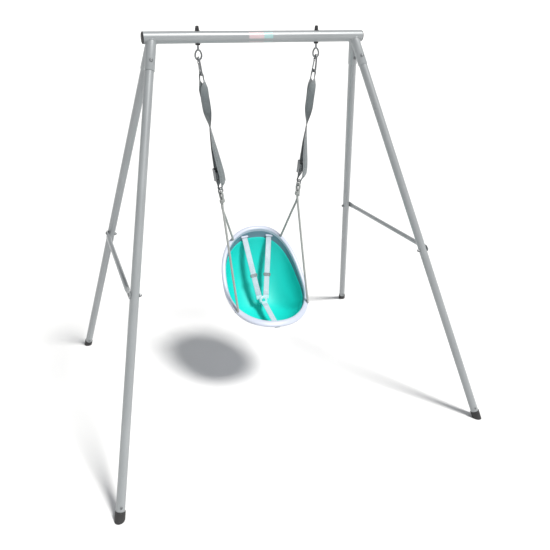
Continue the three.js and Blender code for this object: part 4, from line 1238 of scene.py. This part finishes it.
def makeRope(side, sign, place, ringZ):
    toWorld = toMillimetres @ place @ turned(buckle["turn"], "Z")
    radius = rope["radius"]
    bend = ring["wire"] + 0.4 + radius
    low = ringZ - ring["radius"]

    def spot(p, z, aside=0.0):  # p is out of the plane of the ring's hole
        return toWorld @ Vector((aside, -p, z))

    knotCentre = spot(0, low - rope["hang"])
    loop = [spot(-3, low - 40), spot(-bend, low - 12)]
    loop += [spot(p, z) for p, z in arc(0, low, bend, 180, 0, 6)]
    loop += [spot(bend, low - 12), spot(3, low - 40)]
    strands = [sweep(loop, radius, 60, 16)]
    axis = (spot(0, low) - knotCentre).normalized()
    strands.append(sweep(coil(knotCentre, axis, rope["knot"], 17, 2.2), radius * 0.93, 110, 16,
                         roundEnds=True))
    tail = coil(knotCentre - axis * 6, axis, rope["knot"] * 0.8, 10, 0.6, 8, 2.0)
    strands.append(sweep([*tail, tail[-1] + Vector((sign * 6, -4, -16))], radius * 0.9, 30, 14,
                         roundEnds=True))
    up = (seatPlace.to_3x3() @ Vector((0, 0, 1))).normalized()
    for end, endSign in ends:
        angle, inset = ropeHoles[end]
        hole = toMillimetres @ seatPlace @ lipPoint(sign * math.radians(angle), inset, 0)
        split = knotCentre + Vector((0, endSign * 4, -36))
        above = hole + up * 14
        sag = Vector((0, -endSign * 2.0, 0)) if end == "front" else Vector((0, 0, 0))
        route = [knotCentre, split, split.lerp(above, 0.35) + sag, split.lerp(above, 0.7) + sag, above,
                 hole + up * 5, hole - up * 4, hole - up * 12]
        strands.append(sweep(route, radius, 200, 18))
        strands.append(sweep(coil(hole - up * 14, up, rope["stop"], 9, 1.7, 18), radius * 0.72, 60, 14,
                             roundEnds=True))
        strands.append(sweep([hole - up * 10, hole - up * 20, hole - up * 30 + Vector((sign * 2, 0, 0))],
                             radius * 0.8, 12, 14, roundEnds=True))
    makePiece(f"braided_rope_{side}", gather(*strands), "rope", f"rope_{side}", place=toMetres, sharp=60)


def makeHangers():
    for side, sign in sides:
        place, reach = hangerPlace(side)
        makeEyeBolt(side)
        makeHook(side, place)
        makeStrap(side, place, -reach)
        makeCamBuckle(side, place)
        makeRing(side, place, -reach)
        makeRope(side, sign, place, -reach)
    print("hangers made")


def makeSeat():
    makeShell()
    makeShadeBand()
    makeLiner()
    makeSlotRims()
    makeHarness()
    print("seat made")


# stage and light

stageLook = {"floor": rgb(0.90, 0.90, 0.90), "cloud": rgb(0.87, 0.87, 0.875), "radius": 40, "wall": 6,
             "sky": rgb(0.94, 0.97, 1.0), "skyStrength": 0.36}
sun = {"from": (0.36, -0.58, 0.95), "power": 3.8, "angle": 14.0, "colour": (1.0, 0.985, 0.96)}


def makeStage():
    radius, wall = stageLook["radius"], stageLook["wall"]
    profile = [(0, 0), (4, 0), (12, 0), (radius - wall, 0)]
    profile += arc(radius - wall, wall, wall, -90, 0, 12)[1:]  # the floor curves up far away
    shape = lathe(profile, 96)
    bmesh.ops.reverse_faces(shape, faces=[face for face in shape.faces if face.normal.z < 0])
    mesh = bpy.data.meshes.new("floor")
    shape.to_mesh(mesh)
    shape.free()
    mesh.shade_smooth()
    material, place, _ = startMaterial("paleFloor")
    colour = (place.noise(1.5, 3) * 0.4).mix(stageLook["floor"], stageLook["cloud"])
    mesh.materials.append(endMaterial(material, colour, 0.9))
    floor = addObject("floor", mesh)
    world = bpy.data.worlds.new("studio")
    bpy.context.scene.world = world
    world.use_nodes = True
    world.node_tree.nodes["Background"].inputs["Color"].default_value = stageLook["sky"]
    world.node_tree.nodes["Background"].inputs["Strength"].default_value = stageLook["skyStrength"]
    light = bpy.data.lights.new("sun", "SUN")
    light.energy, light.angle, light.color = sun["power"], math.radians(sun["angle"]), sun["colour"]
    holder = addObject("sun", light)
    holder.rotation_euler = Vector(sun["from"]).to_track_quat("Z", "Y").to_euler()
    bpy.context.scene.view_settings.view_transform = "Standard"
    print("stage made")


makeCamera()
makeStage()
makeFrame()
makeHangers()
makeSeat()
